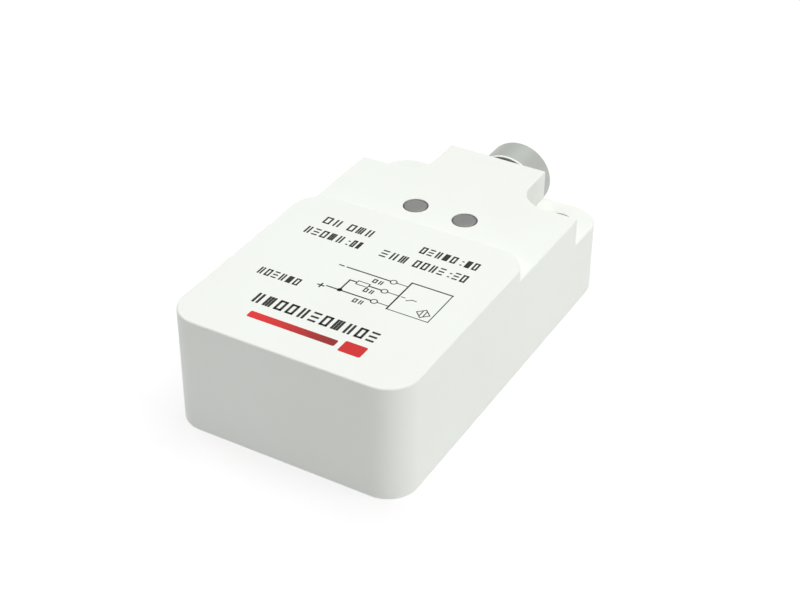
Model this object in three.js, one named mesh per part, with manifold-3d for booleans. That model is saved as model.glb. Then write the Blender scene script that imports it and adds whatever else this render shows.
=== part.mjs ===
// Block-shaped inductive proximity sensor with a round connector at its rear end.
// Millimetres. +Z points out of the square sensing face, and +Y runs from the plain front end to the connector.
// Heights are above the base. Places along Y are measured from the front end, and the last lines move the
// assembly so that the origin is the middle of its base.

import * as THREE from "three";
import { mergeVertices } from "three/addons/utils/BufferGeometryUtils.js";
import Module from "manifold-3d";

const wasm = await Module();
wasm.setup();

// Housing
const width = 40;
const housingLength = 68;
const height = 20;
const cornerR = 5;
const roofZ = 17.9; // roof behind the sensing face
const earZ = 12.8; // top of the two mounting ears
const backWallY = 57; // wall behind which the ears begin
const tongueHalf = 9; // half width of the tongue between the ears
const holeX = 14; // mounting holes, 28 mm apart
const holeY = 62;
const holeR = 2.75;
const sideWall = 1.6;
const faceWall = 1.2; // over the coil and under the rear roof
const coverZ = 1.6; // thickness of the base cover
const coverLip = 1; // housing wall round the base cover

// Coil assembly, centred under the sensing face
const coilY = 20;
const coreR = 15;
const coreZ = 9.4;
const coreHeight = 9;
const postR = 6.5;
const postBoreR = 2;
const coreFloor = 2.6;
const coreRim = 2;
const leadSlotHalf = 1.6;

// Circuit board
const boardZ = 3.8;
const boardThick = 1;
const boardTop = boardZ + boardThick;

// Indicators
const lampX = 4.5;
const lampY = 47.4;
const windowR = 2.03;

// Connector
const axisZ = 10.35;
const barrelR = 6;
const barrelBoreR = 4.5;
const neckR = 5;
const neckEnd = 71.2;
const barrelEnd = 77;
const flangeR = 6.6;
const flangeStart = 58.5;
const pocketEnd = 62;
const insertFront = 69.4; // floor of the plug opening
const pinSpread = 2; // the four pins stand on a 4 mm square
const pinR = 0.5;

const clearance = 0.1;
const arcSteps = 4; // each quarter round gets twice as many edges
const turnSteps = 48;

const colours = {
  housing: { color: 0xf3f5f0, roughness: 0.5, metalness: 0 },
  smoke: { color: 0x8b8c8a, roughness: 0.25, metalness: 0 },
  barrel: { color: 0xb4b7b2, roughness: 0.4, metalness: 0 },
  seal: { color: 0x1b1c1c, roughness: 0.7, metalness: 0 },
  resin: { color: 0x2a2624, roughness: 0.3, metalness: 0 },
  board: { color: 0x1f5b36, roughness: 0.45, metalness: 0 },
  carrier: { color: 0xd9d6c8, roughness: 0.5, metalness: 0 },
  ferrite: { color: 0x3a3a3c, roughness: 0.75, metalness: 0 },
  shield: { color: 0xb87333, roughness: 0.35, metalness: 1 },
  copper: { color: 0xb5652b, roughness: 0.35, metalness: 1 },
  chip: { color: 0x202124, roughness: 0.6, metalness: 0 },
  can: { color: 0xc9cbcd, roughness: 0.3, metalness: 1 },
  film: { color: 0x9c2f24, roughness: 0.4, metalness: 0 },
  ledBody: { color: 0xece9df, roughness: 0.4, metalness: 0 },
  insert: { color: 0x2b2c2e, roughness: 0.5, metalness: 0 },
  gold: { color: 0xd8b25a, roughness: 0.25, metalness: 1 },
  brown: { color: 0x5e3a22, roughness: 0.5, metalness: 0 },
  blue: { color: 0x1f4e9a, roughness: 0.5, metalness: 0 },
  black: { color: 0x191919, roughness: 0.5, metalness: 0 },
};

// ---- From three.js shapes to solids and back

function solid(geometry) {
  const bare = geometry.clone();
  bare.deleteAttribute("normal");
  bare.deleteAttribute("uv");
  const merged = mergeVertices(bare, 1e-4);
  return new wasm.Manifold(
    new wasm.Mesh({
      numProp: 3,
      vertProperties: merged.attributes.position.array,
      triVerts: new Uint32Array(merged.index.array),
    }),
  );
}

function geometryOf(body) {
  const mesh = body.getMesh();
  const geometry = new THREE.BufferGeometry();
  geometry.setAttribute("position", new THREE.BufferAttribute(mesh.vertProperties, 3));
  geometry.setIndex(new THREE.BufferAttribute(mesh.triVerts, 1));
  geometry.computeVertexNormals();
  return geometry;
}

function join(first, ...others) {
  return others.reduce((sum, other) => sum.add(other), first);
}

function cut(first, ...others) {
  return others.reduce((rest, other) => rest.subtract(other), first);
}

// ---- Basic solids

function box(sizeX, sizeY, sizeZ, x, y, z) {
  return solid(new THREE.BoxGeometry(sizeX, sizeY, sizeZ).translate(x, y, z + sizeZ / 2));
}

function prism(shape, low, high) {
  const options = { depth: high - low, bevelEnabled: false, curveSegments: arcSteps };
  return solid(new THREE.ExtrudeGeometry(shape, options).translate(0, 0, low));
}

function post(radius, low, high, x, y, segments = 24) {
  const geometry = new THREE.CylinderGeometry(radius, radius, high - low, segments);
  return solid(geometry.rotateX(Math.PI / 2).translate(x, y, (low + high) / 2));
}

// A profile of [radius, height] pairs turned about the vertical through x, y.
function turned(profile, x, y, segments = turnSteps) {
  const points = profile.map(([r, z]) => new THREE.Vector2(r, z));
  return solid(new THREE.LatheGeometry(points, segments).rotateX(Math.PI / 2).translate(x, y, 0));
}

// A profile of [radius, y] pairs turned about the connector's axis, shifted by x and z.
function turnedAlongY(profile, x = 0, z = 0, segments = turnSteps) {
  const points = profile.map(([r, y]) => new THREE.Vector2(r, y));
  return solid(new THREE.LatheGeometry(points, segments).translate(x, 0, axisZ + z));
}

// Ring of round section, as a closed profile for turned or turnedAlongY.
function roundSection(ringR, sectionR, along, steps = 8) {
  return Array.from({ length: steps + 1 }, (_, i) => {
    const angle = ((i % steps) * 2 * Math.PI) / steps;
    return [ringR + sectionR * Math.cos(angle), along + sectionR * Math.sin(angle)];
  });
}

// Round wire of eight sides along a smooth curve.
function wire(radius, points, steps = 12) {
  const path = new THREE.CatmullRomCurve3(points.map((p) => new THREE.Vector3(...p)));
  const section = new THREE.Shape();
  section.absarc(0, 0, radius, 0, 2 * Math.PI, false);
  const options = { steps, extrudePath: path, bevelEnabled: false, curveSegments: 4 };
  return solid(new THREE.ExtrudeGeometry(section, options));
}

// ---- Outlines, seen from above

function roundedRectangle(x0, y0, x1, y1, frontR, rearR) {
  const outline = new THREE.Shape();
  outline.moveTo(x0 + frontR, y0);
  outline.lineTo(x1 - frontR, y0);
  outline.absarc(x1 - frontR, y0 + frontR, frontR, -Math.PI / 2, 0, false);
  outline.lineTo(x1, y1 - rearR);
  outline.absarc(x1 - rearR, y1 - rearR, rearR, 0, Math.PI / 2, false);
  outline.lineTo(x0 + rearR, y1);
  outline.absarc(x0 + rearR, y1 - rearR, rearR, Math.PI / 2, Math.PI, false);
  outline.lineTo(x0, y0 + frontR);
  outline.absarc(x0 + frontR, y0 + frontR, frontR, Math.PI, 1.5 * Math.PI, false);
  return outline;
}

// Roof with its tongue: the inner corners curve round the mounting holes.
function roofOutline() {
  const side = width / 2;
  const outline = new THREE.Shape();
  outline.moveTo(cornerR - side, 0);
  outline.lineTo(side - cornerR, 0);
  outline.absarc(side - cornerR, cornerR, cornerR, -Math.PI / 2, 0, false);
  outline.lineTo(side, backWallY);
  outline.absarc(holeX, holeY, holeX - tongueHalf, -Math.PI / 2, -Math.PI, true);
  outline.lineTo(tongueHalf, housingLength);
  outline.lineTo(-tongueHalf, housingLength);
  outline.absarc(-holeX, holeY, holeX - tongueHalf, 0, -Math.PI / 2, true);
  outline.lineTo(-side, backWallY);
  outline.lineTo(-side, cornerR);
  outline.absarc(cornerR - side, cornerR, cornerR, Math.PI, 1.5 * Math.PI, false);
  return outline;
}

// ---- Housing and cover

function housing() {
  const side = width / 2;
  const inner = side - sideWall;
  const innerR = cornerR - sideWall;
  const mouth = side - coverLip;
  const full = roundedRectangle(-side, 0, side, housingLength, cornerR, cornerR);
  const face = roundedRectangle(-side, 0, side, width, cornerR, cornerR);
  const room = roundedRectangle(-inner, sideWall, inner, backWallY - sideWall, innerR, 1);
  const coilRoom = roundedRectangle(-inner, sideWall, inner, width - sideWall, innerR, innerR);
  const rebate = roundedRectangle(-mouth, coverLip, mouth, backWallY - coverLip, cornerR - coverLip, 1.6);
  const block = join(prism(full, 0, earZ), prism(roofOutline(), earZ, roofZ), prism(face, roofZ, height));
  const pocket = turnedAlongY([
    [0, backWallY - 3],
    [flangeR + clearance, backWallY - 3],
    [flangeR + clearance, pocketEnd],
    [barrelR + clearance, pocketEnd],
    [barrelR + clearance, housingLength + 1],
    [0, housingLength + 1],
  ]);
  const holes = [-1, 1].map((s) => post(holeR, -1, earZ + 1, s * holeX, holeY, 48));
  const windows = [-1, 1].map((s) => post(windowR + 0.07, 12, roofZ + 1, s * lampX, lampY, 40));
  return cut(
    block,
    prism(room, -1, roofZ - faceWall),
    prism(coilRoom, 5, height - faceWall),
    prism(rebate, -1, coverZ),
    pocket,
    ...holes,
    ...windows,
  );
}

function baseCover() {
  const edge = coverLip + clearance;
  const side = width / 2 - edge;
  const outline = roundedRectangle(-side, edge, side, backWallY - edge, cornerR - edge, 1.5);
  return prism(outline, 0, coverZ);
}

function pottingLayer() {
  const edge = sideWall + 0.3;
  const side = width / 2 - edge;
  const outline = roundedRectangle(-side, edge, side, backWallY - edge, cornerR - edge, 0.8);
  return prism(outline, coverZ, boardZ);
}

// ---- Coil assembly

function ferriteCore() {
  const top = coreZ + coreHeight;
  const windingR = coreR - coreRim;
  const body = turned(
    [
      [postBoreR, coreZ],
      [coreR, coreZ],
      [coreR, top],
      [windingR, top],
      [windingR, coreZ + coreFloor],
      [postR, coreZ + coreFloor],
      [postR, top],
      [postBoreR, top],
      [postBoreR, coreZ],
    ],
    0,
    coilY,
  );
  const reach = coreR + 1 - (windingR - 0.1);
  const slots = [-1, 1].map((s) =>
    box(2 * leadSlotHalf, reach, coreHeight + 2, 0, coilY + s * (windingR - 0.1 + reach / 2), coreZ - 1),
  );
  return cut(body, ...slots);
}

function shieldRing() {
  const inner = coreR + 0.6;
  const outer = inner + 0.4;
  const top = coreZ + coreHeight - 0.2;
  return turned(
    [
      [inner, coreZ],
      [outer, coreZ],
      [outer, top],
      [inner, top],
      [inner, coreZ],
    ],
    0,
    coilY,
  );
}

// Tray under the core, on four feet, with a hole for the coil's two leads.
function coreCarrier() {
  const outer = 17.2;
  const floor = coreZ - 1.2;
  const rim = coreZ + 2.6;
  const tray = turned(
    [
      [0, floor],
      [outer, floor],
      [outer, rim],
      [outer - 0.8, rim],
      [outer - 0.8, coreZ],
      [0, coreZ],
    ],
    0,
    coilY,
  );
  const feet = [
    [-1, -1],
    [1, -1],
    [-1, 1],
    [1, 1],
  ].map(([sx, sy]) => post(1.6, boardTop, floor + 0.5, sx * 10.5, coilY + sy * 10.5));
  const leadHole = box(2 * leadSlotHalf, 1.8, 4, 0, coilY + coreR - 1, floor - 1);
  return cut(join(tray, ...feet), leadHole);
}

const bobbinLow = coreZ + coreFloor + clearance;
const bobbinHigh = coreZ + coreHeight - clearance;
const flangeThick = 0.6;

function coilBobbin() {
  const inner = postR + 0.2;
  const tube = inner + flangeThick;
  const rim = coreR - coreRim - 0.2;
  return turned(
    [
      [inner, bobbinLow],
      [rim, bobbinLow],
      [rim, bobbinLow + flangeThick],
      [tube, bobbinLow + flangeThick],
      [tube, bobbinHigh - flangeThick],
      [rim, bobbinHigh - flangeThick],
      [rim, bobbinHigh],
      [inner, bobbinHigh],
      [inner, bobbinLow],
    ],
    0,
    coilY,
  );
}

function sensingCoil() {
  const inner = postR + 0.9;
  const outer = coreR - coreRim - 0.5;
  const low = bobbinLow + flangeThick + 0.05;
  const high = bobbinHigh - flangeThick - 0.05;
  const soft = 0.3;
  return turned(
    [
      [inner, low],
      [outer - soft, low],
      [outer, low + soft],
      [outer, high - soft],
      [outer - soft, high],
      [inner, high],
      [inner, low],
    ],
    0,
    coilY,
  );
}

function coilLead(side) {
  const x = 0.8 * side;
  const leave = coilY + coreR - coreRim - 0.45;
  const drop = coilY + coreR - 1;
  return wire(0.25, [
    [x, leave, 13.9],
    [x, drop - 0.35, 13.7],
    [x, drop, 13.1],
    [x, drop, 10],
    [x, drop, boardTop + 0.05],
  ]);
}

// ---- Circuit board and what is on it

function circuitBoard() {
  const board = roundedRectangle(-17.6, 2.6, 17.6, 54, 2.6, 1);
  return prism(board, boardZ, boardTop);
}

// Moulded package with bent legs along two opposite sides.
function legged({ x, y, long, wide, tall, legs, pitch, span, legWidth = 0.4 }) {
  const lift = 0.1;
  const body = box(long, wide, tall, x, y, boardTop + lift);
  const all = [];
  for (let i = 0; i < legs; i++) {
    const along = x + (i - (legs - 1) / 2) * pitch;
    for (const s of [-1, 1]) {
      const out = span / 2;
      all.push(box(legWidth, out - wide / 2 + 0.2, 0.2, along, y + (s * (out + wide / 2 - 0.2)) / 2, boardTop + 0.6));
      all.push(box(legWidth, 0.25, 0.8, along, y + s * (out - 0.125), boardTop));
    }
  }
  return join(body, ...all);
}

// Two-ended moulded package, such as a diode, with a flat tab at each end.
function tabbed({ x, y, long, wide, tall, tab }) {
  const body = box(long, wide, tall - 0.1, x, y, boardTop + 0.1);
  const ends = [-1, 1].map((s) => box(0.7, tab, 1.1, x + s * (long / 2 + 0.15), y, boardTop));
  return join(body, ...ends);
}

function outputTransistor() {
  const x = 12.2;
  const y = 46;
  const body = box(6.5, 3.5, 1.6, x, y, boardTop + 0.1);
  const legs = [-2.3, 0, 2.3].map((dx) => box(0.7, 2, 0.3, x + dx, y - 2.6, boardTop));
  const heel = [-2.3, 0, 2.3].map((dx) => box(0.7, 0.4, 0.9, x + dx, y - 1.8, boardTop));
  const tab = box(3, 2.2, 0.4, x, y + 2.5, boardTop);
  return join(body, ...legs, ...heel, tab);
}

function voltageRegulator() {
  const x = -12.5;
  const y = 51;
  const body = box(4.5, 2.5, 1.5, x, y, boardTop);
  const legs = [-1.5, 0, 1.5].map((dx) => box(0.45, 1.2, 0.4, x + dx, y - 1.7, boardTop));
  const tab = box(1.7, 0.9, 0.4, x, y + 1.5, boardTop);
  return join(body, ...legs, tab);
}

function inputCapacitor() {
  const x = -12.6;
  const y = 44;
  const foot = box(6.6, 6.6, 0.9, x, y, boardTop);
  const can = turned(
    [
      [0, boardTop + 0.5],
      [3.1, boardTop + 0.5],
      [3.1, boardTop + 1.5],
      [2.9, boardTop + 1.7],
      [3.1, boardTop + 1.9],
      [3.1, boardTop + 5.5],
      [2.8, boardTop + 5.8],
      [0, boardTop + 5.8],
    ],
    x,
    y,
    32,
  );
  return join(foot, can);
}

function chipResistor(x, y) {
  return box(2, 1.25, 0.5, x, y, boardTop);
}

function led(side) {
  const x = side * lampX;
  const body = box(3.2, 2.8, 1.9, x, lampY, boardTop);
  const cup = turned(
    [
      [0, boardTop + 1.3],
      [0.9, boardTop + 1.3],
      [1.2, boardTop + 2.2],
      [0, boardTop + 2.2],
    ],
    x,
    lampY,
    24,
  );
  return cut(body, cup);
}

// Light pipe: a stem over the lamp, a collar under the roof, and a head that fills the round window.
function lightPipe(side) {
  const collarTop = roofZ - faceWall - clearance;
  const head = roofZ - 0.05;
  return turned(
    [
      [0, boardTop + 2.4],
      [1.5, boardTop + 2.4],
      [1.5, collarTop - 0.7],
      [2.6, collarTop - 0.7],
      [2.6, collarTop],
      [windowR, collarTop],
      [windowR, head - 0.2],
      [windowR - 0.2, head],
      [0, head],
    ],
    side * lampX,
    lampY,
    40,
  );
}

// ---- Connector

function connectorBarrel() {
  return turnedAlongY([
    [barrelBoreR, flangeStart],
    [flangeR, flangeStart],
    [flangeR, pocketEnd - 0.05],
    [barrelR, pocketEnd - 0.05],
    [barrelR, housingLength],
    [neckR, housingLength],
    [neckR, neckEnd],
    [barrelR - 0.25, neckEnd],
    [barrelR, neckEnd + 0.25],
    [barrelR, barrelEnd - 0.35],
    [barrelR - 0.35, barrelEnd],
    [barrelBoreR + 0.3, barrelEnd],
    [barrelBoreR, barrelEnd - 0.3],
    [barrelBoreR, flangeStart],
  ]);
}

function barrelSeal() {
  const inner = neckR + 0.05;
  const outer = neckR + 0.6;
  const near = housingLength + 0.1;
  const far = neckEnd - 0.1;
  return turnedAlongY([
    [inner, near],
    [outer - 0.2, near],
    [outer, near + 0.2],
    [outer, far - 0.2],
    [outer - 0.2, far],
    [inner, far],
    [inner, near],
  ]);
}

const sealY = 61.1;
const insertR = barrelBoreR - clearance;
const grooveR = 3.75;

function contactInsert() {
  const back = 57.5;
  const body = turnedAlongY([
    [0, back],
    [insertR, back],
    [insertR, sealY - 0.5],
    [grooveR, sealY - 0.5],
    [grooveR, sealY + 0.5],
    [insertR, sealY + 0.5],
    [insertR, insertFront],
    [0, insertFront],
  ]);
  const keyReach = 75.4 - insertFront + 0.5;
  const key = box(1, keyReach, 0.75, 0, insertFront - 0.5 + keyReach / 2, axisZ + 3.55);
  const holes = pinPlaces.map(([x, z]) =>
    turnedAlongY(
      [
        [0, back - 1],
        [pinR + clearance, back - 1],
        [pinR + clearance, insertFront + 1],
        [0, insertFront + 1],
      ],
      x,
      z,
      16,
    ),
  );
  return cut(join(body, key), ...holes);
}

const pinPlaces = [
  [pinSpread, pinSpread],
  [-pinSpread, pinSpread],
  [-pinSpread, -pinSpread],
  [pinSpread, -pinSpread],
];
const cupEnd = 53.8;

// Pin with a solder cup at its rear end and a rounded tip.
function contactPin([x, z]) {
  return turnedAlongY(
    [
      [0, cupEnd + 2.2],
      [0.48, cupEnd + 2.2],
      [0.48, cupEnd],
      [0.75, cupEnd],
      [0.75, 57.2],
      [pinR, 57.2],
      [pinR, 74.6],
      [0.35, 74.9],
      [0, 75],
    ],
    x,
    z,
    16,
  );
}

function insertSeal() {
  return turnedAlongY(roundSection(4.12, 0.3, sealY), 0, 0, 32);
}

// Insulated wire from a solder cup down to the board.
function leadWire([x, z], padX) {
  return wire(0.4, [
    [x, cupEnd + 1.6, axisZ + z],
    [x, cupEnd, axisZ + z],
    [x, cupEnd - 1.2, axisZ + z - 0.15],
    [(x + padX) / 2, cupEnd - 2.4, (axisZ + z + boardTop) / 2],
    [padX, cupEnd - 2.8, boardTop + 1.2],
    [padX, cupEnd - 2.8, boardTop + 0.05],
  ]);
}

// ---- Assembly

const sensor = new THREE.Group();
sensor.position.y = -barrelEnd / 2;

function add(name, body, look) {
  const mesh = new THREE.Mesh(geometryOf(body), new THREE.MeshStandardMaterial(colours[look]));
  mesh.name = name;
  sensor.add(mesh);
}

add("housing", housing(), "housing");
add("base_cover", baseCover(), "housing");
add("potting_layer", pottingLayer(), "resin");

add("ferrite_core", ferriteCore(), "ferrite");
add("shield_ring", shieldRing(), "shield");
add("core_carrier", coreCarrier(), "carrier");
add("coil_bobbin", coilBobbin(), "carrier");
add("sensing_coil", sensingCoil(), "copper");
add("coil_lead_start", coilLead(-1), "copper");
add("coil_lead_end", coilLead(1), "copper");

add("circuit_board", circuitBoard(), "board");
add(
  "sensing_chip",
  legged({ x: 0, y: 20, long: 8.7, wide: 3.9, tall: 1.5, legs: 7, pitch: 1.27, span: 6 }),
  "chip",
);
add("output_transistor", outputTransistor(), "chip");
add("voltage_regulator", voltageRegulator(), "chip");
add("reverse_polarity_diode", tabbed({ x: 11, y: 52, long: 4, wide: 2.6, tall: 2.2, tab: 1.5 }), "chip");
add("surge_suppressor", tabbed({ x: 0, y: 41, long: 4.3, wide: 3.6, tall: 2.3, tab: 2 }), "chip");
add("input_capacitor", inputCapacitor(), "can");
add("resonance_capacitor", box(7.2, 3, 5.5, 8, 40.2, boardTop), "film");
add("range_resistor", chipResistor(-6.5, 40), "chip");
add("bias_resistor", chipResistor(-6.5, 42.4), "chip");
add("power_led_resistor", chipResistor(-8.2, 47.4), "chip");
add("output_led_resistor", chipResistor(0, 47.4), "chip");
add("power_led", led(-1), "ledBody");
add("output_led", led(1), "ledBody");
add("power_light_pipe", lightPipe(-1), "smoke");
add("output_light_pipe", lightPipe(1), "smoke");

add("connector_barrel", connectorBarrel(), "barrel");
add("barrel_seal", barrelSeal(), "seal");
add("contact_insert", contactInsert(), "insert");
add("insert_seal", insertSeal(), "seal");
pinPlaces.forEach((place, i) => add("contact_pin_" + (i + 1), contactPin(place), "gold"));
add("supply_wire", leadWire(pinPlaces[0], 6), "brown");
add("ground_wire", leadWire(pinPlaces[2], -6), "blue");
add("output_wire", leadWire(pinPlaces[3], 2), "black");

export default sensor;
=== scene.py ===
# Block-shaped proximity sensor: shell, windows, connector and printing, and the parts inside it.
# Metres; +Z out of the sensing face, +Y towards the connector.
import math

import bmesh
import bpy
from mathutils import Matrix, Vector


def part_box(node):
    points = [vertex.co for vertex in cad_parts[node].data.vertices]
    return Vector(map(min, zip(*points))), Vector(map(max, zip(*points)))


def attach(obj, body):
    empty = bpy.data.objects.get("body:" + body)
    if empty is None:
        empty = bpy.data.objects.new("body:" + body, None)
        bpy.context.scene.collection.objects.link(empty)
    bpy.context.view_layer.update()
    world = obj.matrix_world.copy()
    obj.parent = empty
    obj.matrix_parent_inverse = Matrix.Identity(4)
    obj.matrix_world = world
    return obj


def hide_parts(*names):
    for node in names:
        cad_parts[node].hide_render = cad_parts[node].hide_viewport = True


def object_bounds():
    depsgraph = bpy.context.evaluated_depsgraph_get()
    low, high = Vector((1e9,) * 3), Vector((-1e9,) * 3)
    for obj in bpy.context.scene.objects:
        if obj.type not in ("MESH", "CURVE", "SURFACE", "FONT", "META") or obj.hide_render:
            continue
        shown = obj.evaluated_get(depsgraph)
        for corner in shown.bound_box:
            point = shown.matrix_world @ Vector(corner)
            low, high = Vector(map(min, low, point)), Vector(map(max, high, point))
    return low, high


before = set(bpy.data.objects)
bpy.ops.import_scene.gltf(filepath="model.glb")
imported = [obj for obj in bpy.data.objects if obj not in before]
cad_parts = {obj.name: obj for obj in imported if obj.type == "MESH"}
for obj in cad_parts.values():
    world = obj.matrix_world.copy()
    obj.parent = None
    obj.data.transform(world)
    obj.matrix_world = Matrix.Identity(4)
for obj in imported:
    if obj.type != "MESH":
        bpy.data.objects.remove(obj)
cadLow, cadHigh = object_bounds()
scene = bpy.context.scene
mm = 0.001
upright, lengthwise = (0, 0, 1), (0, 1, 0)

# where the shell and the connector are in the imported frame
shellLow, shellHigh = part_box("housing")
frontY = shellLow.y
halfWidth = shellHigh.x
barrelLow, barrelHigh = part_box("connector_barrel")
axisZ = (barrelLow.z + barrelHigh.z) / 2


def nodeMiddle(node):
    low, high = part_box(node)
    return (low + high) / 2


def fromFront(y):
    return frontY + y


# shader maths

class Value:
    # a socket of one look, which can be used in sums as a number is
    def __init__(self, look, socket):
        self.look = look
        self.socket = socket

    def __add__(self, other):
        return self.look.maths("ADD", self, other)

    def __radd__(self, other):
        return self.look.maths("ADD", other, self)

    def __sub__(self, other):
        return self.look.maths("SUBTRACT", self, other)

    def __rsub__(self, other):
        return self.look.maths("SUBTRACT", other, self)

    def __mul__(self, other):
        return self.look.maths("MULTIPLY", self, other)

    def __rmul__(self, other):
        return self.look.maths("MULTIPLY", other, self)

    def __pow__(self, other):
        return self.look.maths("POWER", self, other)

    def __gt__(self, other):
        return self.look.maths("GREATER_THAN", self, other)

    def __lt__(self, other):
        return self.look.maths("LESS_THAN", self, other)

    def __abs__(self):
        return self.look.maths("ABSOLUTE", self)


class Look:
    # one material, or the sky, and the nodes that are added to it
    def __init__(self, name, sky=False):
        self.owner = (bpy.data.worlds if sky else bpy.data.materials).new(name)
        self.owner.use_nodes = True
        self.tree = self.owner.node_tree
        self.shader = self.tree.nodes["Background" if sky else "Principled BSDF"]
        self.place = None if sky else self.node("ShaderNodeTexCoord", out="Object")

    def put(self, socket, value):
        if isinstance(value, Value):
            self.tree.links.new(value.socket, socket)
        elif isinstance(value, tuple) and len(value) < len(socket.default_value):
            socket.default_value = (*value, 1)  # a colour given without its alpha
        else:
            socket.default_value = value

    def node(self, kind, settings=None, inputs=None, out=0):
        made = self.tree.nodes.new(kind)
        for key, value in (settings or {}).items():
            setattr(made, key, value)
        for key, value in (inputs or {}).items():
            self.put(made.inputs[key], value)
        return Value(self, made.outputs[out])

    def maths(self, operation, a, b=0.0):
        return self.node("ShaderNodeMath", {"operation": operation}, {0: a, 1: b})

    def axis(self, letter):
        return self.node("ShaderNodeSeparateXYZ", inputs={0: self.place}, out=letter)

    def stretched(self, scale, turn=(0, 0, 0)):
        inputs = {"Vector": self.place, "Scale": scale, "Rotation": turn}
        return self.node("ShaderNodeMapping", inputs=inputs)

    def noise(self, scale, detail, rough, distortion=0.0, at=None):
        inputs = {"Vector": at or self.place, "Scale": scale, "Detail": detail}
        inputs.update({"Roughness": rough, "Distortion": distortion})
        return self.node("ShaderNodeTexNoise", inputs=inputs, out="Fac")

    def cells(self, scale):
        inputs = {"Vector": self.place, "Scale": scale}
        return self.node("ShaderNodeTexVoronoi", inputs=inputs, out="Distance")

    def bands(self, direction, scale, distortion):
        inputs = {"Vector": self.place, "Scale": scale, "Distortion": distortion}
        return self.node("ShaderNodeTexWave", {"bands_direction": direction}, inputs, "Fac")

    def steps(self, value, low, high):
        # 0 below low, 1 above high, smooth between
        inputs = {"Value": value, "From Min": low, "From Max": high}
        return self.node("ShaderNodeMapRange", {"interpolation_type": "SMOOTHSTEP"}, inputs)

    def mixed(self, factor, a, b):
        return self.node("ShaderNodeMix", {"data_type": "RGBA"}, {0: factor, 6: a, 7: b}, 2)

    def shaded(self, value, low, high, a, b):
        # colour a where the value is below low, b above high
        return self.mixed(self.steps(value, low, high), a, b)

    def nearness(self, x, y, centre):
        # distance in plan from an upright axis through centre
        across, along = x - centre.x, y - centre.y
        return (across * across + along * along) ** 0.5

    def bump(self, height, depth, strength):
        inputs = {"Height": height, "Distance": depth, "Strength": strength}
        return self.node("ShaderNodeBump", inputs=inputs)

    def finish(self, **values):
        names = {"color": "Base Color", "coat": "Coat Weight", "ior": "IOR"}
        names.update({"glow": "Emission Color", "glowPower": "Emission Strength"})
        for key, value in values.items():
            self.put(self.shader.inputs[names.get(key, key.title())], value)
        return self.owner


def mouldedLook(name, light, dark, roughness, grain=2400, depth=0.01 * mm, fleck=0.0):
    # moulded plastic: slow change of tone, a grain, and short fibres where fleck is above 0
    look = Look(name)
    cloud = look.noise(160, 3, 0.55)
    fine = look.noise(grain, 3, 0.6)
    tone = look.shaded(cloud, 0.3, 0.72, light, dark)
    rough = roughness + (cloud - 0.5) * 0.14 + (fine - 0.5) * 0.12
    if fleck:
        fibres = look.noise(1, 2, 0.5, at=look.stretched((900, 5200, 900), (0.3, 0.2, 0.5)))
        paleFibre = tuple(min(1, c * 2.4 + 0.02) for c in light)
        tone = look.mixed(look.steps(fibres, 0.62, 0.74) * fleck, tone, paleFibre)
    return look.finish(color=tone, roughness=rough, normal=look.bump(fine, depth, 0.5), ior=1.5)


def metalLook(name, light, dark, roughness, lines=(60, 9000, 60)):
    # metal with fine tool lines across the stretched axis and slow tarnish
    look = Look(name)
    tooling = look.noise(1, 3, 0.6, at=look.stretched(lines))
    tarnish = look.noise(300, 4, 0.6)
    tone = look.shaded(tarnish, 0.35, 0.7, light, dark)
    rough = roughness + (tooling - 0.5) * 0.14 + (tarnish - 0.5) * 0.12
    relief = look.bump(tooling, 0.004 * mm, 0.5)
    return look.finish(color=tone, roughness=rough, metallic=1.0, normal=relief)


# mesh helpers

weldGap = 1e-7
edgeAngle = math.radians(32)  # edges sharper than this stay sharp in the shading


def keepMesh(bm, name):
    bmesh.ops.remove_doubles(bm, verts=bm.verts, dist=weldGap)
    bmesh.ops.recalc_face_normals(bm, faces=bm.faces)
    mesh = bpy.data.meshes.new(name)
    bm.to_mesh(mesh)
    bm.free()
    made = bpy.data.objects.new(name, mesh)
    scene.collection.objects.link(made)
    return made


def addCube(bm, low, high):
    size = Vector(high) - Vector(low)
    middle = (Vector(high) + Vector(low)) / 2
    matrix = Matrix.Translation(middle) @ Matrix.Diagonal((*size, 1))
    bmesh.ops.create_cube(bm, size=1, matrix=matrix)


def isRim(edge, *levels):
    a, b = (v.co.z for v in edge.verts)
    return any(abs(a - z) < weldGap and abs(b - z) < weldGap for z in levels)


def bevelEdges(bm, edges, radius, steps):
    bmesh.ops.bevel(
        bm, geom=edges, offset=radius, offset_type="OFFSET", segments=steps, profile=0.5,
        affect="EDGES", clamp_overlap=True, material=-1,
    )


def block(low, high, cornerR=0, rim=0, corners=None, cornerSteps=12, rimSteps=3):
    # box with its upright edges rounded by cornerR and its rims by rim;
    # corners picks the upright edges to round, and without it all are
    bm = bmesh.new()
    addCube(bm, low, high)
    half = (high[2] - low[2]) / 2
    if cornerR:
        edges = [e for e in bm.edges if abs(e.verts[0].co.z - e.verts[1].co.z) > half]
        if corners:
            edges = [e for e in edges if corners(e.verts[0].co)]
        bevelEdges(bm, edges, cornerR, cornerSteps)
    if rim:
        bevelEdges(bm, [e for e in bm.edges if isRim(e, low[2], high[2])], rim, rimSteps)
    return bm


def arcPoints(centreR, centreT, radius, start, end, steps=4):
    # points of an arc in a profile, angles in degrees
    turns = [math.radians(start + (end - start) * i / steps) for i in range(steps + 1)]
    return [(centreR + radius * math.cos(t), centreT + radius * math.sin(t)) for t in turns]


def easedProfile(*corners):
    # profile from corners of (radius, along) or (radius, along, ease): ease cuts the corner off
    profile = []
    for number, (radius, along, *ease) in enumerate(corners):
        if not ease:
            profile.append((radius, along))
            continue
        for other in (corners[number - 1], corners[(number + 1) % len(corners)]):
            dr, dt = other[0] - radius, other[1] - along
            share = ease[0] / math.hypot(dr, dt)
            profile.append((radius + dr * share, along + dt * share))
    return profile


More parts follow.
